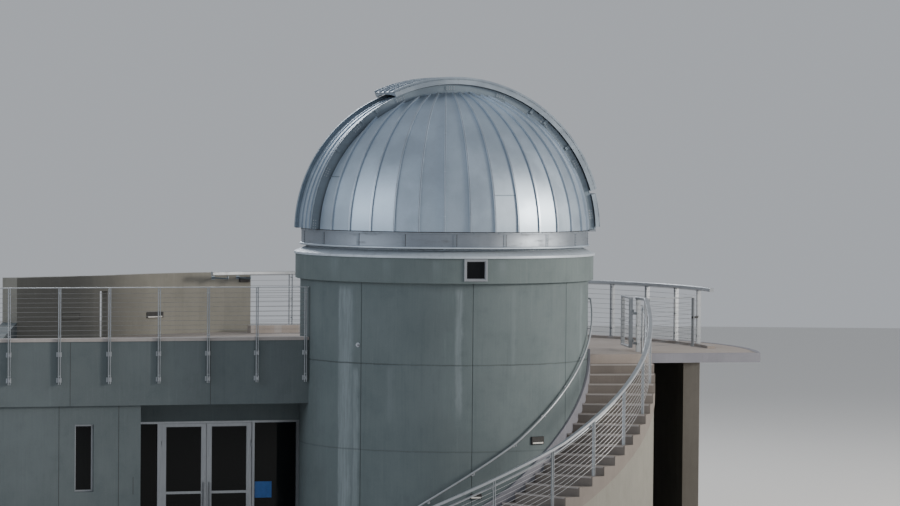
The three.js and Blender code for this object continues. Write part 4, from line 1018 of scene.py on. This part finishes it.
def arches():
    """Rolled arches with a top flange, joint plates, lugs, and bolts on their faces."""
    low, high = ARCH_FOOT, 180 - ARCH_FOOT
    r0, r1 = ARCH_OUT - 0.11, ARCH_OUT - 0.025
    for side, label in SIDES:
        shape, heads = Shape(), Shape()
        inner, outer = side * SLIT_HALF, side * (SLIT_HALF + ARCH_THICK)
        face = outer - side * ARCH_WEB
        sector(shape, ARCH_IN, ARCH_OUT - 0.012, low, high, inner + side * ARCH_WEB, face)
        sector(shape, ARCH_OUT - 0.014, ARCH_OUT, low, high, inner, outer, edge=0.003)
        sector(shape, ARCH_IN, ARCH_IN + 0.012, low, high, inner, outer)
        for start in spread(low + 4, high - 4, 22):
            sector(shape, r0, r1, start, start + 4.2, face, outer, 1)
            for lift in (start + 0.6, start + 1.7, start + 2.5, start + 3.6):
                for r in (r0 + 0.02, r1 - 0.02):
                    bolt(heads, slit_point(r, lift, outer), facing(SLIT_FRAME, 0, side), ARCH_BOLT)
        for lift in ARCH_LUGS:
            sector(shape, ARCH_OUT - 0.09, ARCH_OUT, lift - 0.6, lift + 0.6, face, face + side * 0.03, 0.4)
        make(f"arch_{label}", shape, ARCH_METAL_GRIME_AND_SHADE, "dome", (f"dome_arch_{label}",))
        make(f"arch_bolts_{label}", heads, RAIL_METAL, "dome")


def back_cover():
    """Sheet between the arches behind the shutter, with three standing seams along it."""
    shape = Shape()
    low, high = SHUTTER_HIGH - 4, 180 - lift_to(RING_TOP + FOOT_GAP, DOME_R - 0.03)
    half = SLIT_HALF - FOOT_GAP
    sector(shape, DOME_R - 0.03, DOME_R - 0.005, low, high, -half, half)
    for middle in COVER_SEAMS:
        sector(shape, DOME_R - 0.01, DOME_R + 0.016, low, high, middle - 0.008, middle + 0.008)
    make("back_cover", shape, DOME_METAL, "dome", ("dome_back_strip",))


def barrel(shape, y0, y1):
    """A length of the drop-out panel's hinge."""
    ends = [local(SLIT_FRAME, DROP_HINGE_X, y, DROP_HINGE_Z) for y in (y0, y1)]
    rod(shape, *ends, DROP_HINGE_R, 20)


def ring():
    """Ring of bolted sheet lengths with a flange over the rollers and the drop-out panel's ears."""
    shape, heads, slots, lip = Shape(), Shape(), Shape(), Shape()
    r, rim, top, bottom = DOME_R, RING_FLANGE_R, RING_TOP, RING_BOTTOM
    turned(shape, [
        (TRACK_IN - 0.01, bottom), (rim, bottom), (rim, bottom + 0.012), (r + 0.004, bottom + 0.018),
        (r, bottom + 0.024), (r, top - 0.045), (r + 0.006, top - 0.042), (r + 0.006, top - 0.004), (r, top),
        (ARCH_IN - 0.02, top), (ARCH_IN - 0.02, top - 0.015), (r - 0.03, top - 0.015),
        (r - 0.03, bottom + 0.015), (TRACK_IN - 0.01, bottom + 0.015),
    ])
    half = degrees(0.03 / r)
    for i in range(RING_PLATES):
        bearing = 4 + i * 20
        end = bearing + half
        band(shape, r - 0.002, r + 0.005, bottom + 0.03, top - 0.048, bearing - half, end, 0.5)
        band(slots, r - 0.002, r + 0.001, bottom + 0.026, top - 0.046, end, end + 0.2, 0.1)
        for z in spread(bottom + 0.05, top - 0.07, 0.05):
            for hand in (-1, 1):
                place = at_bearing(r + 0.005, bearing + hand * half * 0.55, z)
                bolt(heads, place, at_bearing(1, bearing), SHEET_BOLT)
    for i in range(RING_RIM_BOLTS):
        bearing = 1.5 + i * 5
        bolt(heads, at_bearing(r + 0.006, bearing, top - 0.023), at_bearing(1, bearing), SHEET_BOLT)
    x, z, sill = DROP_HINGE_X, DROP_HINGE_Z, top - 0.04
    soft_block(shape, (r - 0.03, -SLIT_HALF, sill), (x - 0.03, SLIT_HALF, top), SLIT_FRAME)
    for side in (-1, 1):
        near, far = sorted((side * 0.3, side * 0.38))
        soft_block(shape, (x - 0.06, near, sill), (x - 0.004, far, z - 0.004), SLIT_FRAME, 0.002)
        barrel(shape, near, far)
    make("ring_band", shape, RING_METAL, "dome", ("dome_ring",))
    make("ring_bolts", heads, ARCH_METAL_GRIME_AND_SHADE, "dome")
    # Dark strips beside one end of each plate, and one along the ring's top edge under the gores' foot; that
    # one is a painted shadow line.
    band(slots, r + 0.0064, r + 0.0085, top - 0.012, top - 0.001)
    make("ring_slots_and_shadow_line", slots, DARK, "dome")
    turned(lip, [
        (r + 0.001, bottom + GAP), (rim + 0.001, bottom + GAP), (rim + 0.003, bottom + 0.004),
        (rim + 0.003, bottom + 0.028), (rim, bottom + 0.032), (r + 0.001, bottom + 0.04),
    ])
    make("ring_lip", lip, SEAM_METAL_HIGHLIGHT, "dome")


def rack():
    """Toothed rack round the track that the dome's drive runs on."""
    shape = Shape()
    low, high = RACK
    band(shape, TRACK_OUT + GAP, TRACK_OUT + 0.008, RACK_BOTTOM, high)
    for i in range(RACK_TEETH):
        tooth = spin(i * 360 / RACK_TEETH)
        block(shape, (-0.013, -TRACK_OUT - 0.034, low), (0.013, -TRACK_OUT - 0.006, high - 0.002), tooth)
    make("track_rack", shape, FLASHING_METAL)


def end_plate(shape, low, high):
    """Plate across the shutter's end, its lower edge arched over the slit."""
    wide, foot, top = SHUTTER_HALF - 0.002, SHUTTER_HALF - 0.07, SHUTTER_OUT - 0.006
    outline = [(-wide, SHUTTER_IN), (-wide, top), (wide, top), (wide, SHUTTER_IN)]
    outline += [(foot * cos(turn), SHUTTER_IN + 0.06 * sin(turn)) for turn in spread(0, pi, pi / 20)]
    loft(shape, [[slit_point(r, lift, y) for y, r in outline] for lift in (low, high)])


def upper_shutter():
    """Cover with lengthwise ribs, side fascias with a folded lip, arched end plates and rollers."""
    shape, heads = Shape(), Shape()
    low, high, half = SHUTTER_LOW, SHUTTER_HIGH, SHUTTER_HALF
    sector(shape, SHUTTER_OUT - 0.02, SHUTTER_OUT, low, high, -half, half, edge=0.004)
    for side in (-1, 1):
        edge = side * half
        sector(shape, SHUTTER_IN, SHUTTER_OUT - 0.004, low, high, edge - side * 0.018, edge, edge=0.003)
        sector(shape, SHUTTER_IN, SHUTTER_IN + 0.006, low, high, edge - side * 0.03, edge - side * 0.001)
    for middle in spread(-RIB_HALF, RIB_HALF, RIB_HALF / 2):
        sector(shape, SHUTTER_OUT - 0.003, RIB_TOP, low, high, middle - 0.018, middle + 0.018, edge=0.004)
    end_plate(shape, low, low + PLATE_ANGLE)
    end_plate(shape, high - PLATE_ANGLE, high)
    for lift in ROLLERS:
        for side in (-1, 1):
            middle = side * (SLIT_HALF + ARCH_THICK / 2)
            near, far = middle - 0.022, middle + 0.022
            sector(shape, ARCH_OUT + 0.0006, SHUTTER_OUT - 0.01, lift, lift + 1.4, near, far, 0.7)
    make("shutter_cover", shape, SHUTTER_METAL_GRIME_AND_SHADE, "upper_shutter", ("upper_shutter",))
    for side in (-1, 1):
        for lift in spread(low + 2, high - 2, 8):
            for r in (SHUTTER_IN + 0.02, SHUTTER_OUT - 0.03):
                bolt(heads, slit_point(r, lift, side * half), facing(SLIT_FRAME, 0, side), SHEET_BOLT)
    make("shutter_bolts", heads, RAIL_METAL, "upper_shutter")


def drop_out():
    """Panel under the shutter: skin, cheeks, bars and hinge knuckles."""
    shape = Shape()
    low, high, half = DROP_LOW, DROP_HIGH, DROP_HALF
    sector(shape, DROP_OUT - 0.02, DROP_OUT, low, high, -half, half, edge=0.004)
    for side in (-1, 1):
        sector(shape, SHUTTER_IN, DROP_OUT - 0.004, low, high, side * (half - 0.02), side * half, edge=0.003)
    for start in (low, high - PLATE_ANGLE):
        end = start + PLATE_ANGLE
        sector(shape, SHUTTER_IN, DROP_OUT - 0.005, start, end, -half + 0.002, half - 0.002, 1)
    for middle in spread(-DROP_RIB_HALF, DROP_RIB_HALF, DROP_RIB_HALF / 2):
        near, far = middle - 0.011, middle + 0.011
        sector(shape, DROP_OUT - 0.003, DROP_OUT + 0.012, low + 0.6, high - 0.6, near, far, edge=0.003)
    x, z = DROP_HINGE_X, DROP_HINGE_Z
    for side in (-1, 1):
        near, far = side * 0.3805, side * 0.46
        barrel(shape, near, far)
        block(shape, (x - 0.008, near, z), (x + 0.008, far, z + 0.04), SLIT_FRAME)
    make("drop_out_panel", shape, SHUTTER_METAL_GRIME_AND_SHADE, "lower_shutter", ("lower_shutter",))


# Rails


def paired_post(shape, heads, point, angle, bottom, top, size=SLIM_POST, plate=True):
    """Two flat bars side by side with spacers between them, on a bolted foot plate."""
    place = stand((point.x, point.y, 0), angle)
    depth, space = size
    inner, outer = space / 2, space / 2 + POST_BAR
    for side in (-1, 1):
        soft_block(shape, (side * inner, -depth / 2, bottom), (side * outer, depth / 2, top), place, 0.0015)
    for z in (bottom + 0.16, (bottom + top) / 2, top - 0.1):
        rod(shape, local(place, -inner - 0.001, 0, z), local(place, inner + 0.001, 0, z), 0.012)
        for side in (-1, 1):
            bolt(heads, local(place, side * outer, 0, z), facing(place, side, 0), POST_BOLT)
    if plate:
        x, y = outer + 0.022, depth / 2 - 0.003
        soft_block(shape, (-x, -y, bottom), (x, y, bottom + 0.01), place, 0.002)
        for a in (-outer - 0.011, outer + 0.011):
            for b in (-y + 0.012, y - 0.012):
                bolt(heads, local(place, a, b, bottom + 0.01), UP, PLATE_BOLT)


def stair_line(shape, section, radius, above, start, end, past=STAIR_RAIL_PAST, step=0.25):
    """Carries a section along the stair's slope, and gives back its path."""
    path = [nosing(s, radius, pitch(s, above, past)) for s in spread(start, end, step)]
    swept(shape, path, section)
    return path


def arc_line(shape, section, low, high, z, step=1):
    """Carries a section along the curved guard."""
    swept(shape, [terrace_point(BACK_GUARD_R, angle, z) for angle in spread(low, high, step)], section)


def guard_pieces(name, rail, heads, cables, cable=CABLE):
    make(f"{name}_rail", rail, RAIL_METAL, replaces=(name,))
    make(f"{name}_bolts", heads, RAIL_METAL)
    make(f"{name}_cables", cables, cable)


def stair_guard():
    rail, heads, cables = Shape(), Shape(), Shape()
    r, above = STAIR_RAIL_R, STAIR_RAIL_HEIGHT
    stair_line(rail, flat_section(*STAIR_RAIL_SIZE), r, above, STEP_COUNT, STAIR_RAIL_END)
    posts = [(step, DECK - max(ceil(step), 0) * RISER, SLIM_POST) for step in stations(0.5)]
    for step, bottom, size in [*posts, (GATE_POST_STEP, DECK, WIDE_POST)]:
        point = nosing(step, r, 0)
        angle = degrees(atan2(point.y, point.x)) + 90
        paired_post(rail, heads, point, angle, bottom + GAP, pitch(step, above) - 0.006, size, plate=False)
    pin = gate_pin()
    for height in GATE_HINGES:
        knuckle(rail, pin, nosing(GATE_POST_STEP, r, 0) - pin, DECK + height - 0.05, DECK + height)
    for height in rows(0, *STAIR_CABLES):
        stair_line(cables, round_section(CABLE_R, 6), r, height, STEP_COUNT - 0.5, GATE_POST_STEP, step=0.5)
    guard_pieces("stair_guard", rail, heads, cables, STAIR_CABLE_PAINTED_LIGHT)


def tower_handrail():
    shape = Shape()
    r, above, past = HAND_RAIL_R, HAND_RAIL_HEIGHT, HAND_RAIL_PAST
    stair_line(shape, round_section(0.02, 14), r, above, STEP_COUNT, HAND_RAIL_END, past)
    for step in stations(1):
        low = pitch(step, above - 0.055, past)
        wall = nosing(step, TOWER_R + FOOT_GAP, low)
        out = nosing(step, r, low)
        rod(shape, wall, out, 0.008)
        rod(shape, out - UP * 0.008, out + UP * 0.045, 0.008)
        rod(shape, wall, wall + Vector((wall.x, wall.y, 0)).normalized() * 0.008, 0.03, 20)
    make("tower_handrail_tube", shape, RAIL_METAL, replaces=("tower_handrail",))


def front_guard():
    rail, heads, cables = Shape(), Shape(), Shape()
    place, y, top = WING_FRAME, -FRONT_POST_OUT, FRONT_RAIL_TOP
    path = [local(place, x, y, top - RAIL_THICK / 2) for x in (-WING_LENGTH + 0.02, -0.02)]
    swept(rail, path, flat_section(RAIL_WIDTH, RAIL_THICK))
    for i in range(FRONT_POSTS):
        x = -FIRST_POST - i * BAY
        head = top - RAIL_THICK + 0.002
        paired_post(rail, heads, local(place, x, y, 0), WING_TURN, FRONT_POST_BOTTOM, head, plate=False)
        for z in CUFFS:
            soft_block(rail, (x - 0.022, y - 0.015, z - 0.03), (x + 0.022, -GAP, z + 0.03), place, 0.002)
            soft_block(rail, (x - 0.05, -0.012, z - 0.045), (x + 0.05, -GAP, z + 0.045), place, 0.002)
            for hand in (-0.038, 0.038):
                bolt(heads, local(place, x + hand, -0.012, z), facing(place, 0, -1), CUFF_BOLT)
    for z in rows(COPING_TOP, *FRONT_CABLES):
        rod(cables, local(place, -WING_LENGTH + 0.1, y, z), local(place, -FIRST_POST, y, z), CABLE_R, 6)
    guard_pieces("front_guard", rail, heads, cables)


def arc_guard(name, low, high, above, curb, count):
    """One of the two lengths of the guard round the terrace."""
    rail, heads, cables = Shape(), Shape(), Shape()
    middle = DECK + above - RAIL_THICK / 2
    arc_line(rail, flat_section(CURVED_RAIL_WIDTH, CURVED_RAIL_TALL, 0.012), low, high, middle)
    for i in range(GUARD_POSTS):
        angle = FIRST_GUARD_POST + i * GUARD_POST_ANGLE
        if low <= angle < high:
            point = terrace_point(BACK_GUARD_R, angle, 0)
            paired_post(rail, heads, point, angle + 90, DECK + curb + GAP, middle, WIDE_POST)
    if low < FIRST_GUARD_POST:
        side_guard(rail, heads, cables)
    start, end = max(low, FIRST_GUARD_POST), min(high, CABLE_END)
    for z in rows(DECK + curb, count, 0.08, (above - curb - 0.14) / (count - 1)):
        arc_line(cables, round_section(CABLE_R, 6), start, end, z, 2)
    guard_pieces(name, rail, heads, cables)


def back_guards():
    arc_guard("back_guard", BACK_GUARD_START, BACK_GUARD_SPLIT - 0.01, BACK_RAIL, CURB_LOW, 11)
    arc_guard("back_guard_left", BACK_GUARD_SPLIT, BACK_GUARD_END, BACK_LEFT_RAIL, CURB_HIGH, 10)


def rail_arms():
    """Flat arms that carry the left curved rail from the parapet past the last post."""
    shape, heads = Shape(), Shape()
    under = BACK_LEFT_RAIL - CURVED_RAIL_TALL
    inner, outer, low = BACK_GUARD_R - 0.02, PARAPET_IN, under - 0.06
    for angle in RAIL_ARMS:
        place = stand((*TERRACE, DECK), angle)
        block(shape, (inner, -ARM_HALF, low), (BACK_GUARD_R + 0.02, ARM_HALF, under + 0.01), place)
        block(shape, (inner, -ARM_HALF, low), (outer - 0.008, ARM_HALF, under - 0.03), place)
        low_corner, high_corner = (outer - 0.01, -0.04, under - 0.085), (outer - GAP, 0.04, under - 0.005)
        soft_block(shape, low_corner, high_corner, place, 0.002)
        for side in (-0.024, 0.024):
            bolt(heads, local(place, outer - 0.01, side, under - 0.045), facing(place, -1, 0), ARM_BOLT)
    make("curved_rail_arms", shape, ARCH_METAL_GRIME_AND_SHADE)
    make("curved_rail_arm_bolts", heads, ARCH_METAL_GRIME_AND_SHADE)


def side_guard(rail, heads, cables):
    """Short straight guard from the gate's post to the curved guard, clamped to its first post."""
    start = nosing(GATE_POST_STEP, STAIR_RAIL_R, DECK + SIDE_RAIL_HIGH - 0.006)
    end = terrace_point(BACK_GUARD_R, FIRST_GUARD_POST, DECK + SIDE_RAIL_LOW - 0.006)
    angle = degrees(atan2(end.y - start.y, end.x - start.x))

    def part_way(share, z):
        point = start.lerp(end, share)
        return Vector((point.x, point.y, z))

    path = [start.lerp(end, share) - UP * 0.006 for share in SIDE_RAIL_ENDS]
    swept(rail, path, flat_section(*SIDE_RAIL_SIZE))
    for share in SIDE_POSTS:
        point = start.lerp(end, share)
        paired_post(rail, heads, point, angle, DECK + GAP, point.z)
    for z in rows(DECK, *SIDE_CABLES):
        rod(cables, part_way(0.02, z), part_way(SIDE_POSTS[-1], z), CABLE_R, 6)
    clamp = Shape()
    swept(clamp, [part_way(share, DECK + 0.6) for share in SIDE_CLAMP], flat_section(*CLAMP_SIZE))
    make("side_guard_clamp", clamp, DARK)


def gate_pin():
    post = nosing(GATE_POST_STEP, STAIR_RAIL_R, 0)
    outward = post.normalized()
    return post - outward * GATE_PIN_IN + Vector((-outward.y, outward.x, 0)) * GATE_PIN_PAST


def knuckle(shape, pin, toward, low, high):
    """A hinge barrel on the gate's pin with a web to what it holds."""
    place = stand((pin.x, pin.y, 0), degrees(atan2(toward.y, toward.x)))
    rod(shape, (pin.x, pin.y, low), (pin.x, pin.y, high), 0.011, 20)
    soft_block(shape, (0, -0.004, low), (toward.length, 0.004, high), place, 0.001)


def gate():
    """Leaf with a stile at each end, rungs between them, hinge knuckles and a latch."""
    leaf, rungs, fittings = Shape(), Shape(), Shape()
    pin = gate_pin()
    place = stand(pin, GATE_OPEN)
    start, end = GATE_START, GATE_START + GATE_LENGTH
    inner, outer = start + GATE_STILE, end - GATE_STILE
    near, far = GATE_FACE, GATE_FACE + GATE_THICK
    low, high = DECK + GATE_LOW, DECK + GATE_HIGH
    faces = ((near, -1), (far, 1))
    for x in (start, outer):
        soft_block(leaf, (x, near, low), (x + GATE_STILE, far, high), place, 0.004)
        for z in (low + 0.15, (low + high) / 2, high - 0.15):
            for y, out in faces:
                bolt(fittings, local(place, x + GATE_STILE / 2, y, z), facing(place, 0, out), POST_BOLT)
    back, front = near + FOOT_GAP, far - FOOT_GAP
    for z in (low + FOOT_GAP, high - GATE_BAR + FOOT_GAP):
        top = z + GATE_BAR - 2 * FOOT_GAP
        soft_block(leaf, (inner - 0.006, back, z), (outer + 0.006, front, top), place, 0.004)
    toward = facing(place, start + 0.02, near + 0.02)
    for height in GATE_HINGES:
        knuckle(leaf, pin, toward, DECK + height + 0.001, DECK + height + 0.05)
    middle = (near + far) / 2
    for z in rows(low, *GATE_RUNGS):
        rod(rungs, local(place, inner - 0.002, middle, z), local(place, outer + 0.002, middle, z), 0.006, 10)
    z = DECK + LATCH_HEIGHT
    corners = (outer - 0.004, near - 0.004, z - 0.06), (outer + 0.02, far + 0.004, z + 0.06)
    soft_block(fittings, *corners, place, 0.003)
    for face, out in faces:
        grip = local(place, outer + 0.03, face + out * 0.04, z)
        rod(fittings, local(place, outer + 0.03, face, z), grip, 0.008)
        rod(fittings, grip, local(place, outer - 0.08, face + out * 0.04, z), 0.008)
    make("gate_leaf", leaf, RAIL_METAL, "stair_gate", replaces=("stair_gate",))
    make("gate_rungs", rungs, CABLE, "stair_gate")
    make("gate_fittings", fittings, RAIL_METAL, "stair_gate")


def inner_rail():
    """Round grab rail inside the stair guard, on arms from its posts, with a leg down to the deck."""
    shape = Shape()
    tube = round_section(GRAB_RAIL_TUBE, 14)
    top = stair_line(shape, tube, GRAB_RAIL_R, STAIR_RAIL_HEIGHT - 0.14, STEP_COUNT - 0.4, -0.42)[-1]
    foot = (top.x, top.y, DECK + GAP)
    rod(shape, foot, top + UP * 0.016, GRAB_RAIL_TUBE, 14)
    rod(shape, foot, (top.x, top.y, DECK + 0.01), 0.045, 20)
    for step in stations(0.5):
        low = pitch(step, STAIR_RAIL_HEIGHT - 0.2)
        out = nosing(step, GRAB_RAIL_R, low)
        rod(shape, nosing(step, STAIR_RAIL_R - 0.02, low), out, 0.007, 10)
        rod(shape, out - UP * 0.007, out + UP * 0.055, 0.007, 10)
    make("stair_inner_rail", shape, RAIL_METAL)


def stair_trim():
    """Pale nosing strips and the curb along the foot of the tower's wall."""
    strips, curb = Shape(), Shape()
    for step in range(1, STEP_COUNT + 1):
        top = DECK - step * RISER
        corners = ((step + 0.012, -0.028), (step + 0.012, 0.002), (step - 0.12, 0.002), (step - 0.12, -0.028))
        ends = (STAIR_IN + 0.08, STAIR_OUT - 0.03)
        loft(strips, [[nosing(s, radius, top + z) for s, z in corners] for radius in ends])
    stair_line(curb, flat_section(*STAIR_CURB_SIZE), TOWER_R + 0.027, 0.02, STEP_COUNT, 0)
    make("stair_nosings", strips, COPING_CONCRETE)
    make("stair_curb", curb, EDGE_CONCRETE)


def deck_edge():
    """Pale band round the deck's edge, turned over on to its top, and skins over the guard's curbs."""
    shape, curbs = Shape(), Shape()
    angles = spread(0, DECK_SPLIT, DECK_EDGE_STEP) + spread(DECK_SPLIT, PARAPET_RIGHT, DECK_EDGE_STEP)[1:]
    path = [nosing(-0.02, STAIR_OUT, DECK), Vector((*NEAR_EDGE_END, DECK))]
    path += [terrace_point(TERRACE_R, angle, DECK) for angle in angles]
    swept(shape, path, [
        (-0.12, GAP), (GAP, GAP), (GAP, -DECK_SLAB), (0.006, -DECK_SLAB), (0.006, 0.002), (0.003, 0.005),
        (-0.12, 0.005),
    ])
    for low, high, curb in (
        (BACK_GUARD_START, BACK_GUARD_SPLIT, CURB_LOW), (BACK_GUARD_SPLIT, CURB_END, CURB_HIGH),
    ):
        top = curb + 0.0028
        skin = [
            (-0.078, GAP), (-0.0753, GAP), (-0.0753, curb + 0.0002), (0.0753, curb + 0.0002), (0.0753, GAP),
            (0.078, GAP), (0.078, top - 0.004), (0.074, top), (-0.074, top), (-0.078, top - 0.004),
        ]
        arc_line(curbs, skin, low, high, DECK)
    make("deck_edge_band", shape, EDGE_CONCRETE)
    make("guard_curb_skins", curbs, COPING_CONCRETE)


# Fixtures


def wall_light(box, lens, place, width, height, out=0.022):
    """Shallow dark housing with a pale strip along its foot; the place's -Y points out of the wall."""
    half, foot = width / 2, -height / 2
    soft_block(box, (-half, -out, foot), (half, 0.01, -foot), place, 0.005)
    half *= 0.84
    soft_block(lens, (-half, -out - 0.004, foot + 0.012), (half, -out + 0.004, foot + 0.042), place, 0.003)


def edge_bars(x0, x1, z0, z1, wide):
    """The four bars inside a rectangle's edges, as ranges of x and z."""
    return (x0, x0 + wide, z0, z1), (x1 - wide, x1, z0, z1), (x0, x1, z0, z0 + wide), (x0, x1, z1 - wide, z1)


def parapet_place(angle, z):
    return stand(terrace_point(PARAPET_IN, angle, z), angle - 90)


def fixtures():
    """Lights on the tower and parapet, a small housing, a panel's outline, a fitting, the blue plate."""
    box, lens, panel, knob, plate = Shape(), Shape(), Shape(), Shape(), Shape()
    for bearing, height, width, tall in TOWER_LIGHTS:
        wall_light(box, lens, stand(at_bearing(TOWER_R, bearing, height), bearing), width, tall, 0.03)
    wall_light(box, lens, parapet_place(*PARAPET_LIGHT), 0.5, 0.13)
    soft_block(box, (-0.12, -0.05, -0.055), (0.12, 0.01, 0.055), parapet_place(*PARAPET_HOUSING), 0.006)
    side = stand(WALL_PANEL, WALL_PANEL_TURN)
    soft_block(panel, (-0.25, -0.008, -0.073), (0.25, 0.01, 0.073), side, 0.002)
    for x0, x1, z0, z1 in edge_bars(-0.236, 0.236, -0.06, 0.06, 0.006):
        block(box, (x0, -0.0085, z0), (x1, -0.0079, z1), side)
    make("wall_panel", panel, WALL_CONCRETE)
    make("light_housings", box, DARK)
    make("light_lenses", lens, LENS)
    bearing, z = TOWER_FITTING
    for near, far, radius, sides in ((0, 0.012, 0.045, 20), (0.01, 0.05, 0.022, 16)):
        ends = [at_bearing(TOWER_R + out, bearing, z) for out in (near, far)]
        rod(knob, *ends, radius, sides)
    make("tower_fitting", knob, FRAME_METAL)
    low, high = (-0.775, GLASS_FRONT - 0.004, 1.07), (-0.43, GLASS_FRONT - GAP, 1.39)
    soft_block(plate, low, high, WING_FRAME, 0.001)
    make("blue_plate", plate, BLUE)


def door_fittings():
    """Pull handles, lock faces and gaskets on the two leaves."""
    place, y, z0, z1 = WING_FRAME, LEAF_FRONT, LEAF_GLASS_LOW, LEAF_TOP - 0.06
    for label, hinge, hand in (("left", LEFT_HINGE_EDGE, 1), ("right", RIGHT_HINGE_EDGE, -1)):
        metal, rubber = Shape(), Shape()
        free = LEAF_MEETING - hand * LEAF_GAP
        grip = free - hand * 0.055
        for z in (0.95, 1.35):
            rod(metal, local(place, grip, y + 0.002, z), local(place, grip, y - 0.05, z), 0.009)
        rod(metal, local(place, grip, y - 0.05, 0.9), local(place, grip, y - 0.05, 1.4), 0.012, 16)
        soft_block(metal, (grip - 0.022, y - 0.003, 1.02), (grip + 0.022, y + 0.002, 1.28), place, 0.001)
        x0, x1 = sorted((hinge + hand * STILE, free - hand * STILE))
        for a, b, c, d in edge_bars(x0, x1, z0, z1, GASKET):
            low, high = (a + 0.0004, y + 0.012, c + 0.0004), (b - 0.0004, y + 0.0169, d - 0.0004)
            block(rubber, low, high, place)
        make(f"door_{label}_fittings", metal, FRAME_METAL, f"door_{label}")
        make(f"door_{label}_gaskets", rubber, DARK, f"door_{label}")


def wing_joints():
    """Upright joints in the wing's beam and front wall, and a short strip by the recess's corner, drawn as
    thin dark lines.
    """
    shape = Shape()
    for x, low, high, front in WING_JOINTS:
        near, far = front - 0.0012, front - 0.0002
        block(shape, (x - 0.004, near, low + 0.002), (x + 0.004, far, high - 0.002), WING_FRAME)
    make("wing_joint_lines", shape, DARK)


# Carried-over solids


FINISHES = {
    "concrete": WALL_CONCRETE,
    "deck_concrete": DECK_CONCRETE,
    "dome_metal": DOME_METAL,
    "flashing": FLASHING_METAL,
    "rail_metal": RAIL_METAL,
    "frame_metal": FRAME_METAL,
    "glass": GLASS,
}
NODE_FINISHES = {
    **dict.fromkeys(("wing_fascia", "wing_front_wall", "entrance_wall", "wing_end_wall"), WING_CONCRETE),
    **dict.fromkeys(("stair_flight_1", "stair_flight_2", "stair_flight_3"), STAIR_CONCRETE),
    **dict.fromkeys(("back_wall_1", "back_wall_2"), PIER_CONCRETE),
    "wing_coping": COPING_CONCRETE,
}


def dress_nodes():
    """Gives each carried-over solid a finish of its own or the one of its slot."""
    slots = {row["node"]: row["material_slot"] for row in frame["record"]["subparts"]}
    for name, node in frame["nodes"].items():
        node.data.materials.clear()
        node.data.materials.append(NODE_FINISHES.get(name) or FINISHES[slots[name]])


# Stage, light and camera


def floor():
    shape = Shape()
    shape.add([(x, y, -FLOOR_DROP) for x, y in FLOOR_CORNERS], [(0, 1, 2, 3)])
    piece = mesh_object("studio_floor", shape)
    piece.data.materials.append(Paint("studio_floor", FLOOR_TINT, 0.9).material)


def lights():
    world = bpy.data.worlds.new("studio")
    world.use_nodes = True
    back = world.node_tree.nodes["Background"]
    back.inputs["Color"].default_value = STUDIO_TINT
    back.inputs["Strength"].default_value = STUDIO_STRENGTH
    bpy.context.scene.world = world
    for name, place, target, size, power, colour in LAMPS:
        data = bpy.data.lights.new(name, "AREA")
        data.shape = "DISK"
        data.size = size
        data.energy = power
        data.color = colour
        lamp = bpy.data.objects.new(name, data)
        lamp.location = place
        lamp.rotation_euler = (Vector(target) - Vector(place)).to_track_quat("-Z", "Y").to_euler()
        bpy.context.scene.collection.objects.link(lamp)


def camera():
    data = bpy.data.cameras.new("photo_view")
    data.sensor_fit = "HORIZONTAL"
    data.sensor_width = SENSOR
    data.lens = FOCAL_PIXELS * SENSOR / IMAGE_WIDTH
    data.clip_end = FAR_END
    view = bpy.data.objects.new("photo_view", data)
    tilt = Matrix.Rotation(radians(90 - CAMERA_PITCH), 4, "X")
    view.matrix_world = stand(CAMERA_PLACE, -CAMERA_PAN) @ tilt @ spin(CAMERA_ROLL)
    bpy.context.scene.collection.objects.link(view)
    bpy.context.scene.camera = view


for build in (
    camera, lights, floor, dress_nodes, tower_panels, cornice, square_window, flashing, ring, rack, gores,
    laps, slit_gap_shade_strips, seams, arches, back_cover, upper_shutter, drop_out, stair_guard, tower_handrail,
    inner_rail, stair_trim, deck_edge, gate, front_guard, back_guards, rail_arms, fixtures, door_fittings,
    wing_joints,
):
    build()
